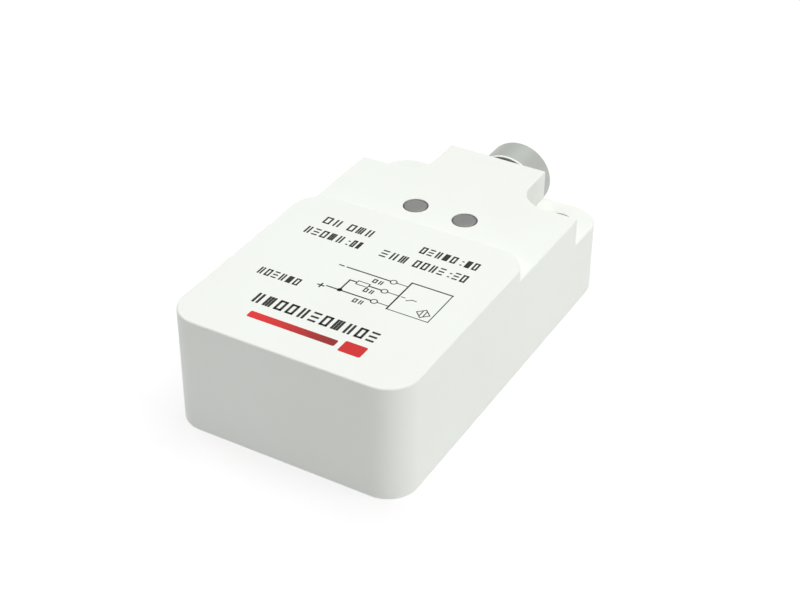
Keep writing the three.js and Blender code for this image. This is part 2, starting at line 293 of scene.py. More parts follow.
def plug(radius, low, high, topRadius=None):
    # profile of a plain pin, or of a cone where topRadius differs
    return [(0, low), (radius, low), (topRadius or radius, high), (0, high)]


def spunProfile(profile, centre, axis, steps=96):
    # profile of (radius, along) turned about the axis through centre
    bm = bmesh.new()
    along = Vector(axis)
    out = along.orthogonal().normalized()
    points = [bm.verts.new(Vector(centre) + out * r + along * t) for r, t in profile]
    chain = [bm.edges.new(pair) for pair in zip(points, points[1:])]
    if profile[0][0] > 0 and profile[-1][0] > 0:
        chain.append(bm.edges.new((points[-1], points[0])))
    bmesh.ops.spin(
        bm, geom=points + chain, cent=centre, axis=axis, angle=2 * math.pi,
        steps=steps, use_merge=True, use_duplicate=False,
    )
    return bm


def combine(target, cutter, operation="DIFFERENCE"):
    # boolean of two objects, applied; the cutter goes
    modifier = target.modifiers.new("combine", "BOOLEAN")
    modifier.operation = operation
    modifier.solver = "EXACT"
    modifier.object = cutter
    graph = bpy.context.evaluated_depsgraph_get()
    done = bpy.data.meshes.new_from_object(target.evaluated_get(graph))
    target.modifiers.remove(modifier)
    old = target.data
    target.data = done
    bpy.data.meshes.remove(old)
    bpy.data.objects.remove(cutter)
    return target


def turnedCut(target, profile, centre, axis=upright, steps=40):
    return combine(target, keepMesh(spunProfile(profile, centre, axis, steps), "cutter"))


def addTo(bm, other):
    # puts the second bmesh into the first as separate shells
    holder = bpy.data.meshes.new("holder")
    other.to_mesh(holder)
    other.free()
    bm.from_mesh(holder)
    bpy.data.meshes.remove(holder)
    return bm


def softEdges(made):
    for face in made.data.polygons:
        face.use_smooth = True
    made.data.set_sharp_from_angle(angle=edgeAngle)
    weighted = made.modifiers.new("evenShading", "WEIGHTED_NORMAL")
    weighted.mode = "FACE_AREA"
    weighted.keep_sharp = True


def place(made, material, slotName, *nodes):
    # gives a finished piece its material, and hides the nodes that it stands for
    softEdges(made)
    made.data.name = made.name
    made.data.materials.clear()
    made.data.materials.append(material)
    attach(made, "root")
    if nodes:
        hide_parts(*nodes)
    return made


# studio: camera, lights, sky and floor

studio = {
    "lens": 75.5,  # mm, with the sensor's width
    "sensor": 36,
    "seenFrom": 0.01,
    "seenTo": 20,
    "azimuth": 29.7,
    "elevation": 34.74,
    "distance": 0.2672,
    "aim": (-0.0002, -0.0036, 0.0082),
    "roll": 0.3,
    "floorSize": 12.0,
    "floorDrop": 0.02 * mm,
    "floorColor": (0.3, 0.3, 0.3),
    "floorFibre": (0.32, 0.32, 0.32),
    "floorGlow": 0.69,
    "glowInset": 2 * mm,  # the floor doesn't glow under the object, from this far inside its outline
    "skyColor": (0.98, 1.0, 0.98),
    "skySeen": 0.84,  # how bright the sky is behind the floor
    "skyGloss": 0.3,  # how bright it is in reflections; it gives no other light
}
studioLights = {
    # name: (azimuth, elevation, distance, size, power), all round the object's middle
    "overheadSoftbox": (60, 80, 0.9, 0.9, 6.1),
    "rearSoftbox": (180, 60, 0.9, 0.7, 2.0),
    "rightSoftbox": (98, 32, 0.9, 0.6, 2.5),
    "leftSoftbox": (-104, 35, 0.9, 0.6, 2.2),
}


def facing(azimuth, elevation, distance, centre):
    # matrix of something that stands off in that direction and looks at centre
    a, e = math.radians(azimuth), math.radians(elevation)
    back = Vector((math.sin(a) * math.cos(e), -math.cos(a) * math.cos(e), math.sin(e)))
    spot = centre + distance * back
    return Matrix.Translation(spot) @ (centre - spot).to_track_quat("-Z", "Y").to_matrix().to_4x4()


def makeCamera():
    data = bpy.data.cameras.new("mainCamera")
    data.lens = studio["lens"]
    data.sensor_width = studio["sensor"]
    data.clip_start = studio["seenFrom"]
    data.clip_end = studio["seenTo"]
    camera = bpy.data.objects.new("mainCamera", data)
    scene.collection.objects.link(camera)
    aim = Vector(studio["aim"])
    roll = Matrix.Rotation(math.radians(studio["roll"]), 4, "Z")
    view = facing(studio["azimuth"], studio["elevation"], studio["distance"], aim)
    camera.matrix_world = view @ roll
    scene.camera = camera


def makeLights():
    middle = (cadLow + cadHigh) / 2
    for name, (azimuth, elevation, distance, size, power) in studioLights.items():
        data = bpy.data.lights.new(name, "AREA")
        data.shape = "DISK"
        data.size = size
        data.energy = power
        lamp = bpy.data.objects.new(name, data)
        scene.collection.objects.link(lamp)
        lamp.matrix_world = facing(azimuth, elevation, distance, middle)


def makeSky():
    look = Look("studioSky", sky=True)
    scene.world = look.owner
    seen = look.node("ShaderNodeLightPath", out="Is Camera Ray")
    gloss = look.node("ShaderNodeLightPath", out="Is Glossy Ray")
    strength = seen * studio["skySeen"] + gloss * studio["skyGloss"]
    look.put(look.shader.inputs["Color"], studio["skyColor"])
    look.put(look.shader.inputs["Strength"], strength)


def makeFloor():
    bm = bmesh.new()
    bmesh.ops.create_grid(bm, x_segments=1, y_segments=1, size=studio["floorSize"] / 2)
    floor = keepMesh(bm, "studioFloor")
    floor.location.z = cadLow.z - studio["floorDrop"]
    look = Look("palePaper")
    fibre = look.noise(900, 3, 0.6)
    tone = look.mixed(fibre, studio["floorColor"], studio["floorFibre"])
    middle, half = nodeMiddle("housing"), (shellHigh - shellLow) / 2
    beside = abs(look.axis("X") - middle.x) > half.x - studio["glowInset"]
    beyond = abs(look.axis("Y") - middle.y) > half.y - studio["glowInset"]
    paper = look.mixed(fibre, (0.98, 0.98, 0.98), (1, 1, 1))
    glow = look.mixed(look.maths("MAXIMUM", beside, beyond), (0, 0, 0), paper)
    relief = look.bump(fibre, 0.01 * mm, 0.2)
    material = look.finish(
        color=tone, roughness=0.9, normal=relief, glow=glow, glowPower=studio["floorGlow"],
    )
    floor.data.materials.append(material)


# housing shell

plastic = {
    "color": (0.855, 0.885, 0.84),
    "warm": (0.845, 0.868, 0.82),
    "speck": (0.7, 0.71, 0.68),
    "roughness": 0.48,
    "grain": 3200,  # grains per metre
    "grainDepth": 0.012 * mm,
}
shell = {
    "cornerR": 5 * mm,
    "edge": 0.32 * mm,  # rounding of the outer edges
    "faceLength": 40 * mm,
    "rearStart": 12 * mm,  # the lower rear part starts inside the face block
    "backWall": 57 * mm,  # where the ears start, from the front end
    "roof": 17.9 * mm,
    "ear": 12.8 * mm,
    "tongueHalf": 9 * mm,
    "holeX": 14 * mm,
    "holeY": 62 * mm,
    "holeR": 2.75 * mm,
    "holeEdge": 0.03 * mm,
    "windowR": 2.1 * mm,
    "windowEdge": 0.06 * mm,
    "windowStart": 14 * mm,
    "inkDepth": 0.015 * mm,
    "side": 1.6 * mm,
    "face": 1.2 * mm,
    "roomR": 2 * mm,
    "coilRoom": 5 * mm,  # the room for the coil starts at this height
    "lip": 1 * mm,
    "lipR": 3 * mm,
    "coverDepth": 1.6 * mm,
    "boreGap": 0.1 * mm,
    "flangeRoom": 3.5 * mm,
    "mouthDepth": 0.15 * mm,
    "sharpTurn": 0.7,  # an outer edge that turns by more, in radians, is rounded
    "spare": 1 * mm,  # how far a cutter reaches past the wall
}


def mouldedWhite(name, grainDepth):
    look = Look(name)
    cloud = look.noise(38, 3, 0.55)
    grain = look.noise(plastic["grain"], 3, 0.6)
    pits = look.cells(1900)
    speck = look.steps(look.noise(900, 4, 0.7), 0.72, 0.8)
    tone = look.shaded(cloud, 0.35, 0.7, plastic["color"], plastic["warm"])
    tone = look.mixed(speck * 0.06, tone, plastic["speck"])
    rough = plastic["roughness"] + (cloud - 0.5) * 0.12 + (grain - 0.5) * 0.1
    relief = look.bump(grain * 0.75 + pits * 0.25, grainDepth, 0.6)
    return look.finish(color=tone, roughness=rough, normal=relief, ior=1.5)


def earCutter(side):
    # clears the space over one ear; its inner corner curves round the screw hole
    spare = 2 * shell["spare"]
    x0, x1 = sorted((side * shell["tongueHalf"], side * (halfWidth + spare)))
    low = (x0, fromFront(shell["backWall"]), shell["ear"])
    high = (x1, shellHigh.y + spare, shell["roof"] + spare)
    radius = shell["holeX"] - shell["tongueHalf"]

    def innerCorner(co):
        return abs(abs(co.x) - shell["tongueHalf"]) < 1e-6 and abs(co.y - low[1]) < 1e-6

    return keepMesh(block(low, high, radius, corners=innerCorner, cornerSteps=14), "earCutter")


def rearBlock():
    startY = fromFront(shell["rearStart"])
    low = (-halfWidth, startY, 0)
    high = (halfWidth, shellHigh.y, shell["roof"])
    rounded = block(low, high, shell["cornerR"], corners=lambda co: co.y > 0)
    body = keepMesh(rounded, "rearBlock")
    for side in (-1, 1):
        combine(body, earCutter(side))
    bm = bmesh.new()
    bm.from_mesh(body.data)
    bmesh.ops.dissolve_limit(bm, angle_limit=0.01, verts=bm.verts, edges=bm.edges)
    bm.normal_update()
    outer = [e for e in bm.edges if e.is_manifold and e.calc_face_angle_signed() > shell["sharpTurn"]]
    sharp = [e for e in outer if max(v.co.y for v in e.verts) > startY + 1e-5]
    bevelEdges(bm, sharp, shell["edge"], 4)
    bm.to_mesh(body.data)
    bm.free()
    return body


def faceBlock():
    low = (-halfWidth, frontY, 0)
    high = (halfWidth, fromFront(shell["faceLength"]), shellHigh.z - shell["inkDepth"])
    return keepMesh(block(low, high, shell["cornerR"], shell["edge"], rimSteps=4), "housingShell")


def chamferedHole(body, x, y, low, high, radius, chamfer):
    spare = shell["spare"]
    wide = radius + chamfer + spare
    profile = [(0, low - spare), (wide, low - spare), (radius, low + chamfer)]
    profile += [(radius, high - chamfer), (wide, high + spare), (0, high + spare)]
    turnedCut(body, profile, (x, y, 0), steps=72)


def hollow(body, inset, low, high, endY, cornerR):
    corner = (-halfWidth + inset, frontY + inset, low)
    far = (halfWidth - inset, endY, high)
    combine(body, keepMesh(block(corner, far, cornerR, cornerSteps=8), "roomCutter"))


def buildHousing(material):
    body = combine(faceBlock(), rearBlock(), "UNION")
    side, face, spare, roof = shell["side"], shell["face"], shell["spare"], shell["roof"]
    backY = fromFront(shell["backWall"])
    hollow(body, side, -spare, roof - face, backY - side, shell["roomR"])
    coilEnd = fromFront(shell["faceLength"]) - side
    hollow(body, side, shell["coilRoom"], shellHigh.z - face, coilEnd, shell["cornerR"] - side)
    hollow(body, shell["lip"], -spare, shell["coverDepth"], backY - shell["lip"], shell["lipR"])
    holeY = fromFront(shell["holeY"])
    for end, node in ((-1, "power_light_pipe"), (1, "output_light_pipe")):
        holeX, window = end * shell["holeX"], nodeMiddle(node)
        chamferedHole(body, holeX, holeY, 0, shell["ear"], shell["holeR"], shell["holeEdge"])
        chamferedHole(
            body, window.x, window.y, shell["windowStart"], roof, shell["windowR"], shell["windowEdge"],
        )
    wide = (barrelHigh.z - barrelLow.z) / 2 + shell["boreGap"]
    narrow = barrel["radius"] + shell["boreGap"]
    start, neck = backY - 3 * spare, barrelLow.y + shell["flangeRoom"]
    bore = [(0, start), (wide, start), (wide, neck), (narrow, neck)]
    bore += [(narrow, shellHigh.y - shell["mouthDepth"])]
    bore += [(narrow + spare + shell["mouthDepth"], shellHigh.y + spare), (0, shellHigh.y + spare)]
    turnedCut(body, bore, (0, 0, axisZ), lengthwise, 96)
    return place(body, material, "housing", "housing")


# base cover

cover = {
    "grainDepth": 0.02 * mm,
    "gap": 0.1 * mm,
    "edge": 0.2 * mm,
    "panelInset": 3.2 * mm,
    "panelDepth": 0.25 * mm,
    "panelR": 2.5 * mm,
    "markX": 12 * mm,
    "markY": 20 * mm,
    "markR": 1.6 * mm,
    "markDepth": 0.08 * mm,
    "gateR": 0.9 * mm,
    "gateFlare": 1.3 * mm,
    "gateDepth": 0.3 * mm,
}


def buildCover(material):
    # plate with a shallow panel below, and the marks that its mould left
    low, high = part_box("base_cover")
    middle = nodeMiddle("base_cover")
    cornerR = shell["cornerR"] - shell["lip"] - cover["gap"]
    made = keepMesh(block(low, high, cornerR, cover["edge"], cornerSteps=10), "baseCoverPlate")
    inset, deep = cover["panelInset"], cover["panelDepth"]
    panelLow = (low.x + inset, low.y + inset, -mm)
    panelHigh = (high.x - inset, high.y - inset, deep)
    panel = block(panelLow, panelHigh, cover["panelR"], cornerSteps=8)
    combine(made, keepMesh(panel, "panelCutter"))
    for x in (-1, 1):
        for y in (-1, 1):
            spot = (middle.x + x * cover["markX"], middle.y + y * cover["markY"], 0)
            turnedCut(made, plug(cover["markR"], -mm, deep + cover["markDepth"]), spot)
    flare = cover["gateR"] + cover["gateFlare"]
    turnedCut(made, plug(flare, -mm, deep + cover["gateDepth"], cover["gateR"]), middle)
    return place(made, material, "cover", "base_cover")


# indicator windows, which are the heads of light pipes

smoke = {
    "color": (0.246, 0.246, 0.24),
    "shade": (0.222, 0.222, 0.217),
    # painted shade for the ring round the edge of each window, where the hole's wall shuts out light
    "rim": (0.05, 0.051, 0.05),
    "shadeRimStart": 1.72 * mm,
    "shadeRimEnd": 2.02 * mm,
    "roughness": 0.3,
}
pipe = {
    "headR": 2.06 * mm,
    "headEdge": 0.16 * mm,
    "crown": 0.05 * mm,
    "dome": ((0.55, 0.5), (0.25, 0.9), (0, 1)),  # its curve, as shares of the head and the crown
    "sink": 0.04 * mm,
    "stemR": 1.5 * mm,
    "collarR": 2.6 * mm,
    "collarThick": 0.7 * mm,
    "collarGap": 0.1 * mm,  # between the collar and the roof
    "ease": 0.1 * mm,
}


def smokePlastic():
    # painted shade: the colour is darker round the edge of each window, where the wall of the hole shuts
    # out the light
    look = Look("smokePlastic")
    window = nodeMiddle("output_light_pipe")
    away = look.nearness(abs(look.axis("X")), look.axis("Y"), window)
    cloud = look.noise(420, 2, 0.5)
    swirl = look.noise(150, 3, 0.5, 1.2)
    tone = look.shaded(cloud, 0.3, 0.75, smoke["color"], smoke["shade"])
    # painted shade: darker ring round the edge of each window
    tone = look.shaded(away, smoke["shadeRimStart"], smoke["shadeRimEnd"], tone, smoke["rim"])
    rough = smoke["roughness"] + (swirl - 0.5) * 0.08
    return look.finish(color=tone, roughness=rough, normal=look.bump(swirl, 0.01 * mm, 0.3), ior=1.5)


def buildLightPipe(node, name, material):
    low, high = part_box(node)
    centre = nodeMiddle(node)
    headR, edge, ease, crown = pipe["headR"], pipe["headEdge"], pipe["ease"], pipe["crown"]
    top = high.z - pipe["sink"]
    collarTop = shell["roof"] - shell["face"] - pipe["collarGap"]
    collarLow = collarTop - pipe["collarThick"]
    profile = easedProfile(
        (0, low.z), (pipe["stemR"], low.z, ease), (pipe["stemR"], collarLow),
        (pipe["collarR"], collarLow, ease), (pipe["collarR"], collarTop), (headR, collarTop),
    )
    profile += arcPoints(headR - edge, top - edge, edge, 0, 80)
    profile += [(headR * share, top + crown * rise) for share, rise in pipe["dome"]]
    made = keepMesh(spunProfile(profile, (centre.x, centre.y, 0), upright, 64), name)
    return place(made, material, "smoke_plastic", node)


# connector barrel and the seal round its neck

nickel = {
    "color": (0.475, 0.5, 0.463),
    "shade": (0.453, 0.476, 0.44),
    "paintedHighlight": (0.96, 0.97, 0.95),  # painted highlight on the chamfer beside the neck, for the light that its edge catches
    "cut": (0.02 * mm, 0.06 * mm),  # from beyond the neck's end to past its rounded edge
    "roughness": 0.4,
    "metallic": 0.12,
}
barrel = {
    "radius": 6 * mm,
    "bore": 4.5 * mm,
    "neck": 5 * mm,
    "neckEnd": 71.2 * mm,
    "edge": 0.25 * mm,
    "flangeEase": 0.2 * mm,
    "seat": 3.45 * mm,  # length of the flange
    "ease": 0.1 * mm,
    "mouthEdge": 0.35 * mm,
    "boreEdge": 0.3 * mm,
}
rubber = {"color": (0.016, 0.016, 0.017), "bloom": (0.034, 0.034, 0.035), "roughness": 0.62}
barrelSeal = {"gap": 0.03 * mm, "edge": 0.25 * mm}


def satinNickel():
    look = Look("satinNickel")
    y = look.axis("Y")
    turning = look.noise(1, 3, 0.6, at=look.stretched((60, 9000, 60)))
    cloud = look.noise(140, 3, 0.6)
    neckEnd = fromFront(barrel["neckEnd"])
    before, past = nickel["cut"]
    # painted highlight: a near-white, non-metal band round the chamfer beside the neck
    paintedHighlightBand = (y > neckEnd + before) * (y < neckEnd + barrel["edge"] + past)
    tone = look.shaded(cloud, 0.3, 0.7, nickel["color"], nickel["shade"])
    tone = look.mixed(paintedHighlightBand, tone, nickel["paintedHighlight"])
    rough = nickel["roughness"] + (turning - 0.5) * 0.12 + (cloud - 0.5) * 0.08
    metallic = nickel["metallic"] * (1 - paintedHighlightBand)
    relief = look.bump(turning, 0.006 * mm, 0.5)
    return look.finish(color=tone, roughness=rough, metallic=metallic, normal=relief)


def blackRubber():
    look = Look("blackRubber")
    grain = look.noise(2600, 3, 0.6)
    bloom = look.noise(260, 3, 0.6)
    tone = look.shaded(bloom, 0.45, 0.8, rubber["color"], rubber["bloom"])
    rough = rubber["roughness"] + (grain - 0.5) * 0.2
    return look.finish(color=tone, roughness=rough, normal=look.bump(grain, 0.01 * mm, 0.5))


def buildBarrel(material):
    start, end = barrelLow.y, barrelHigh.y
    flangeR = (barrelHigh.z - barrelLow.z) / 2
    radius, bore, neck = barrel["radius"], barrel["bore"], barrel["neck"]
    edge, mouthEdge, boreEdge = barrel["edge"], barrel["mouthEdge"], barrel["boreEdge"]
    seat, neckEnd, ease = start + barrel["seat"], fromFront(barrel["neckEnd"]), barrel["ease"]
    profile = easedProfile(
        (bore, start), (flangeR, start, barrel["flangeEase"]), (flangeR, seat, ease),
        (radius, seat), (radius, shellHigh.y, ease), (neck, shellHigh.y), (neck, neckEnd),
    )
    profile += arcPoints(radius - edge, neckEnd + edge, edge, -90, 0)
    profile += arcPoints(radius - mouthEdge, end - mouthEdge, mouthEdge, 0, 90)
    profile += arcPoints(bore + boreEdge, end - boreEdge, boreEdge, 90, 180)
    made = keepMesh(spunProfile(profile, (0, 0, axisZ), lengthwise, 128), "connectorBarrel")
    return place(made, material, "barrel", "connector_barrel")


def buildBarrelSeal(material):
    low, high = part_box("barrel_seal")
    outer, edge = (high.z - low.z) / 2, barrelSeal["edge"]
    inner = barrel["neck"] + barrelSeal["gap"]
    profile = [(inner, low.y)]
    profile += arcPoints(outer - edge, low.y + edge, edge, -90, 0)
    profile += arcPoints(outer - edge, high.y - edge, edge, 0, 90)
    profile += [(inner, high.y)]
    made = keepMesh(spunProfile(profile, (0, 0, axisZ), lengthwise), "barrelSealRing")
    return place(made, material, "seal", "barrel_seal")


# insulator, contacts and the ring between insulator and barrel

insert = {
    "finish": ((0.022, 0.0225, 0.024), (0.034, 0.034, 0.036), 0.46),  # both tones and the roughness
    "fleck": 0.35,  # how strongly its fibres show
    "radius": 4.4 * mm,
    "groove": 3.75 * mm,
    "grooveHalf": 0.5 * mm,
    "face": 69.4 * mm,
    "ease": 0.1 * mm,
    "dish": (3.4 * mm, 1 * mm),  # radii of the sunk ring in the face
    "dishDepth": 0.12 * mm,
    "keyHalf": 0.5 * mm,
    "keyStart": 3.55 * mm,
    "keyEnd": 4.3 * mm,
    "keyRoot": 0.4 * mm,
    "keyEdge": 0.08 * mm,
    "pinHole": 0.6 * mm,
    "pinHoleRim": 1.1 * mm,
    "pinHoleMouth": (0.3 * mm, 0.2 * mm),  # its cone, from below the face to above it
}
contacts = {
    "finish": ((0.83, 0.6, 0.24), (0.72, 0.49, 0.18), 0.2),
    "radius": 0.5 * mm,
    "cup": 0.75 * mm,
    "cupBore": (0.46 * mm, 0.48 * mm, 0.5 * mm),  # from its floor to its mouth
    "cupDepth": 2.2 * mm,
    "cupFlare": 0.2 * mm,
    "cupEdge": 0.06 * mm,
    "shoulder": 57.2 * mm,
    "shoulderEase": 0.12 * mm,
}
insertSeal = {"radius": 4.12 * mm, "wire": 0.3 * mm}
contactNodes = ("contact_pin_1", "contact_pin_2", "contact_pin_3", "contact_pin_4")


def buildInsert(material):
    low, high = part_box("contact_insert")
    radius, groove, ease = insert["radius"], insert["groove"], insert["ease"]
    sealY, half = nodeMiddle("insert_seal").y, insert["grooveHalf"]
    face = fromFront(insert["face"])
    sunk = face - insert["dishDepth"]
    outer, inner = insert["dish"]
    profile = easedProfile(
        (0, low.y), (radius, low.y, ease), (radius, sealY - half), (groove, sealY - half),
        (groove, sealY + half), (radius, sealY + half), (radius, face, ease),
        (outer + ease, face), (outer, sunk), (inner, sunk), (inner - ease, face), (0, face),
    )
    made = keepMesh(spunProfile(profile, (0, 0, axisZ), lengthwise), "contactInsert")
    keyLow = (-insert["keyHalf"], face - insert["keyRoot"], axisZ + insert["keyStart"])
    rib = block(keyLow, (insert["keyHalf"], high.y, axisZ + insert["keyEnd"]))
    ends = [e for e in rib.edges if max(v.co.y for v in e.verts) > face]
    bevelEdges(rib, ends, insert["keyEdge"], 3)
    combine(made, keepMesh(rib, "keyRib"), "UNION")
    below, over = insert["pinHoleMouth"]
    start, mouth, above = low.y - mm, face - below, face + over
    hole = [(0, start), (insert["pinHole"], start), (insert["pinHole"], mouth)]
    hole += [(insert["pinHoleRim"], above), (0, above)]
    for node in contactNodes:
        centre = nodeMiddle(node)
        turnedCut(made, hole, (centre.x, 0, centre.z), lengthwise, 32)
    return place(made, material, "insert", "contact_insert")


def buildContact(node, name, material):
    low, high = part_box(node)
    centre = nodeMiddle(node)
    radius, cup, floorY = contacts["radius"], contacts["cup"], low.y + contacts["cupDepth"]
    floorR, wallR, mouthR = contacts["cupBore"]
    shoulder = fromFront(contacts["shoulder"])
    profile = easedProfile(
        (0, floorY), (floorR, floorY), (wallR, floorY - contacts["cupFlare"]), (mouthR, low.y),
        (cup, low.y, contacts["cupEdge"]), (cup, shoulder, contacts["shoulderEase"]), (radius, shoulder),
    )
    profile += arcPoints(0, high.y - radius, radius, 0, 90, 7)
    made = keepMesh(spunProfile(profile, (centre.x, 0, centre.z), lengthwise, 32), name)
    return place(made, material, "contact", node)


def buildInsertSeal(material):
    middle = nodeMiddle("insert_seal").y
    ring = arcPoints(insertSeal["radius"], middle, insertSeal["wire"], 0, 330, 11)  # twelve points
    made = keepMesh(spunProfile(ring, (0, 0, axisZ), lengthwise), "insertSealRing")
    return place(made, material, "seal", "insert_seal")


# coil assembly: core, shield, carrier, bobbin, winding and its two leads

core = {
    "light": (0.032, 0.033, 0.036),
    "dark": (0.062, 0.062, 0.064),
    "flake": (0.1, 0.1, 0.102),  # where the surface has chipped
    "radius": 15 * mm,
    "rim": 2 * mm,
    "postR": 6.5 * mm,
    "boreR": 2 * mm,
    "floor": 2.6 * mm,
    "ease": 0.25 * mm,
    "slot": 3.2 * mm,
    "slotSpare": 0.2 * mm,
    "slotReach": 0.3 * mm,
    "slotR": 0.3 * mm,
}
shield = {
    # both tones, the roughness and how its rolling lines are stretched
    "finish": ((0.8, 0.36, 0.17), (0.6, 0.24, 0.11), 0.26, (400, 400, 5200)),
    "wall": 0.4 * mm,
    "ease": 0.1 * mm,
    "lapHalf": 1.6 * mm,
    "lapInset": 0.3 * mm,
    "lapOut": 0.18 * mm,
    "lapEdge": 0.08 * mm,
}
carrier = {
    "finish": ((0.66, 0.62, 0.5), (0.6, 0.56, 0.44), 0.48),  # the bobbin has the same
    "wall": 0.8 * mm,
    "depth": 3.8 * mm,
    "floor": 1.2 * mm,
    "ease": 0.15 * mm,
    "footAt": 10.5 * mm,
    "footR": 1.5 * mm,
    "footEase": 0.1 * mm,
    "footRoot": 0.4 * mm,
    "leadHoleHalf": 0.9 * mm,
    "leadHoleInset": 1 * mm,  # from the core's edge
}
bobbin = {
    "inner": 6.7 * mm,
    "thick": 0.6 * mm,
    "ease": 0.12 * mm,
    "notchAt": 0.8 * mm,
    "notchHalf": 0.35 * mm,
    "notchDepth": 0.9 * mm,
    "notchTall": 0.7 * mm,
    "notchR": 0.1 * mm,
}
winding = {
    "light": (0.62, 0.2, 0.055),
    "dark": (0.42, 0.11, 0.03),
    "glint": (0.75, 0.32, 0.1),
    "inner": 7.4 * mm,
    "ridges": 10,  # ridges across an end and up the side
    "ridgeSteps": 4,
    "standOut": 0.45,  # how far a ridge stands out, as a share of its width
}
coilLead = {
    "x": 0.8 * mm,
    "radius": 0.25 * mm,
    "start": 0.1 * mm,
    "bend": 0.35 * mm,
    "dropY": 34 * mm,
    "heights": (13.9, 13.7, 13.1, 10),
}


def coilAxis():
    return Vector((0, nodeMiddle("ferrite_core").y, 0))


def sinteredFerrite():
    look = Look("sinteredFerrite")
    grain = look.noise(3400, 4, 0.65)
    stain = look.noise(210, 4, 0.6)
    flake = 1 - look.steps(look.cells(520), 0.06, 0.2)
    tone = look.shaded(stain, 0.3, 0.7, core["light"], core["dark"])
    tone = look.mixed(flake * 0.5, tone, core["flake"])
    rough = 0.62 + (grain - 0.5) * 0.25 - flake * 0.2
    relief = look.bump(grain - flake * 0.5, 0.02 * mm, 0.8)
    return look.finish(color=tone, roughness=rough, normal=relief, metallic=0.15)


def enamelledWire():
    look = Look("enamelledWire")
    layer = look.noise(1, 2, 0.5, at=look.stretched((120, 120, 1800)))
    heat = look.noise(260, 3, 0.6)
    tone = look.shaded(heat, 0.3, 0.75, winding["light"], winding["dark"])
    tone = look.mixed(look.steps(layer, 0.5, 0.7) * 0.5, tone, winding["glint"])
    relief = look.bump(layer, 0.01 * mm, 0.4)
    return look.finish(color=tone, roughness=0.24 + heat * 0.16, metallic=0.85, normal=relief)


def buildCore(material):
    low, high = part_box("ferrite_core")
    r, post, bore, ease = core["radius"], core["postR"], core["boreR"], core["ease"]
    inner = r - core["rim"]
    bottom, top, floorZ = low.z, high.z, low.z + core["floor"]
    profile = easedProfile(
        (bore, bottom, ease), (r, bottom, ease), (r, top, ease), (inner, top, ease),
        (inner, floorZ, ease), (post, floorZ, ease), (post, top, ease), (bore, top, ease),
    )
    made = keepMesh(spunProfile(profile, coilAxis(), upright), "ferriteCore")
    for side in (-1, 1):
        y = coilAxis().y + side * (r + core["slotSpare"])
        reach, half = core["rim"] + core["slotReach"], core["slot"] / 2
        cutter = block((-half, y - reach, bottom - mm), (half, y + reach, top + mm), core["slotR"])
        combine(made, keepMesh(cutter, "leadSlot"))
    return place(made, material, "ferrite", "ferrite_core")


def buildShield(material):
    low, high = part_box("shield_ring")
    outer, ease = high.x, shield["ease"]
    inner = outer - shield["wall"]
    profile = easedProfile(
        (inner, low.z, ease), (outer, low.z, ease), (outer, high.z, ease), (inner, high.z, ease),
    )
    made = keepMesh(spunProfile(profile, coilAxis(), upright, 128), "shieldRing")
    y, half, inset = coilAxis().y, shield["lapHalf"], shield["lapInset"]
    lapLow = (outer - inset, y - half, low.z + inset)
    lapHigh = (outer + shield["lapOut"], y + half, high.z - inset)
    combine(made, keepMesh(block(lapLow, lapHigh, rim=shield["lapEdge"]), "solderedLap"), "UNION")
    return place(made, material, "shield", "shield_ring")


def buildCarrier(material):
    low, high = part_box("core_carrier")
    outer, ease = high.x, carrier["ease"]
    inner = outer - carrier["wall"]
    tray = high.z - carrier["depth"]
    floorZ = tray + carrier["floor"]
    profile = easedProfile(
        (0, tray), (outer, tray, ease), (outer, high.z, ease), (inner, high.z, ease),
        (inner, floorZ, ease), (0, floorZ),
    )
    made = keepMesh(spunProfile(profile, coilAxis(), upright), "coreCarrier")
    footR, footEase, root = carrier["footR"], carrier["footEase"], tray + carrier["footRoot"]
    foot = [(0, low.z), (footR - footEase, low.z), (footR, low.z + footEase)]
    foot += [(footR + footEase, root), (0, root)]
    for sx in (-1, 1):
        for sy in (-1, 1):
            spot = coilAxis() + Vector((sx * carrier["footAt"], sy * carrier["footAt"], 0))
            combine(made, keepMesh(spunProfile(foot, spot, upright, 32), "foot"), "UNION")
    y, reach = coilAxis().y + core["radius"] - carrier["leadHoleInset"], carrier["leadHoleHalf"]
    half = core["slot"] / 2
    hole = block((-half, y - reach, low.z), (half, y + reach, high.z), core["slotR"])
    combine(made, keepMesh(hole, "leadHole"))
    return place(made, material, "carrier", "core_carrier")


def buildBobbin(material):
    low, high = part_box("coil_bobbin")
    inner, thick, ease, outer = bobbin["inner"], bobbin["thick"], bobbin["ease"], high.x
    tube = inner + thick
    profile = easedProfile(
        (inner, low.z), (outer, low.z, ease), (outer, low.z + thick, ease),
        (tube, low.z + thick, ease), (tube, high.z - thick, ease), (outer, high.z - thick, ease),
        (outer, high.z, ease), (inner, high.z),
    )
    made = keepMesh(spunProfile(profile, coilAxis(), upright), "coilBobbin")
    y, half = coilAxis().y + outer, bobbin["notchHalf"]
    for side in (-1, 1):
        x = side * bobbin["notchAt"]
        notchLow = (x - half, y - bobbin["notchDepth"], low.z - mm)
        notchHigh = (x + half, y + mm, low.z + bobbin["notchTall"])
        combine(made, keepMesh(block(notchLow, notchHigh, bobbin["notchR"]), "leadNotch"))
    return place(made, material, "carrier", "coil_bobbin")


def ridges(start, end):
    # (place, how far below the crest) along a row of rounded ridges from start to end
    step = (end - start) / winding["ridges"]
    row = []
    for i in range(winding["ridges"]):
        for k in range(winding["ridgeSteps"]):
            t = math.pi * k / winding["ridgeSteps"]
            sunk = abs(step) * winding["standOut"] * (1 - math.sin(t))
            row.append((start + (i + 0.5 - 0.5 * math.cos(t)) * step, sunk))
    return row


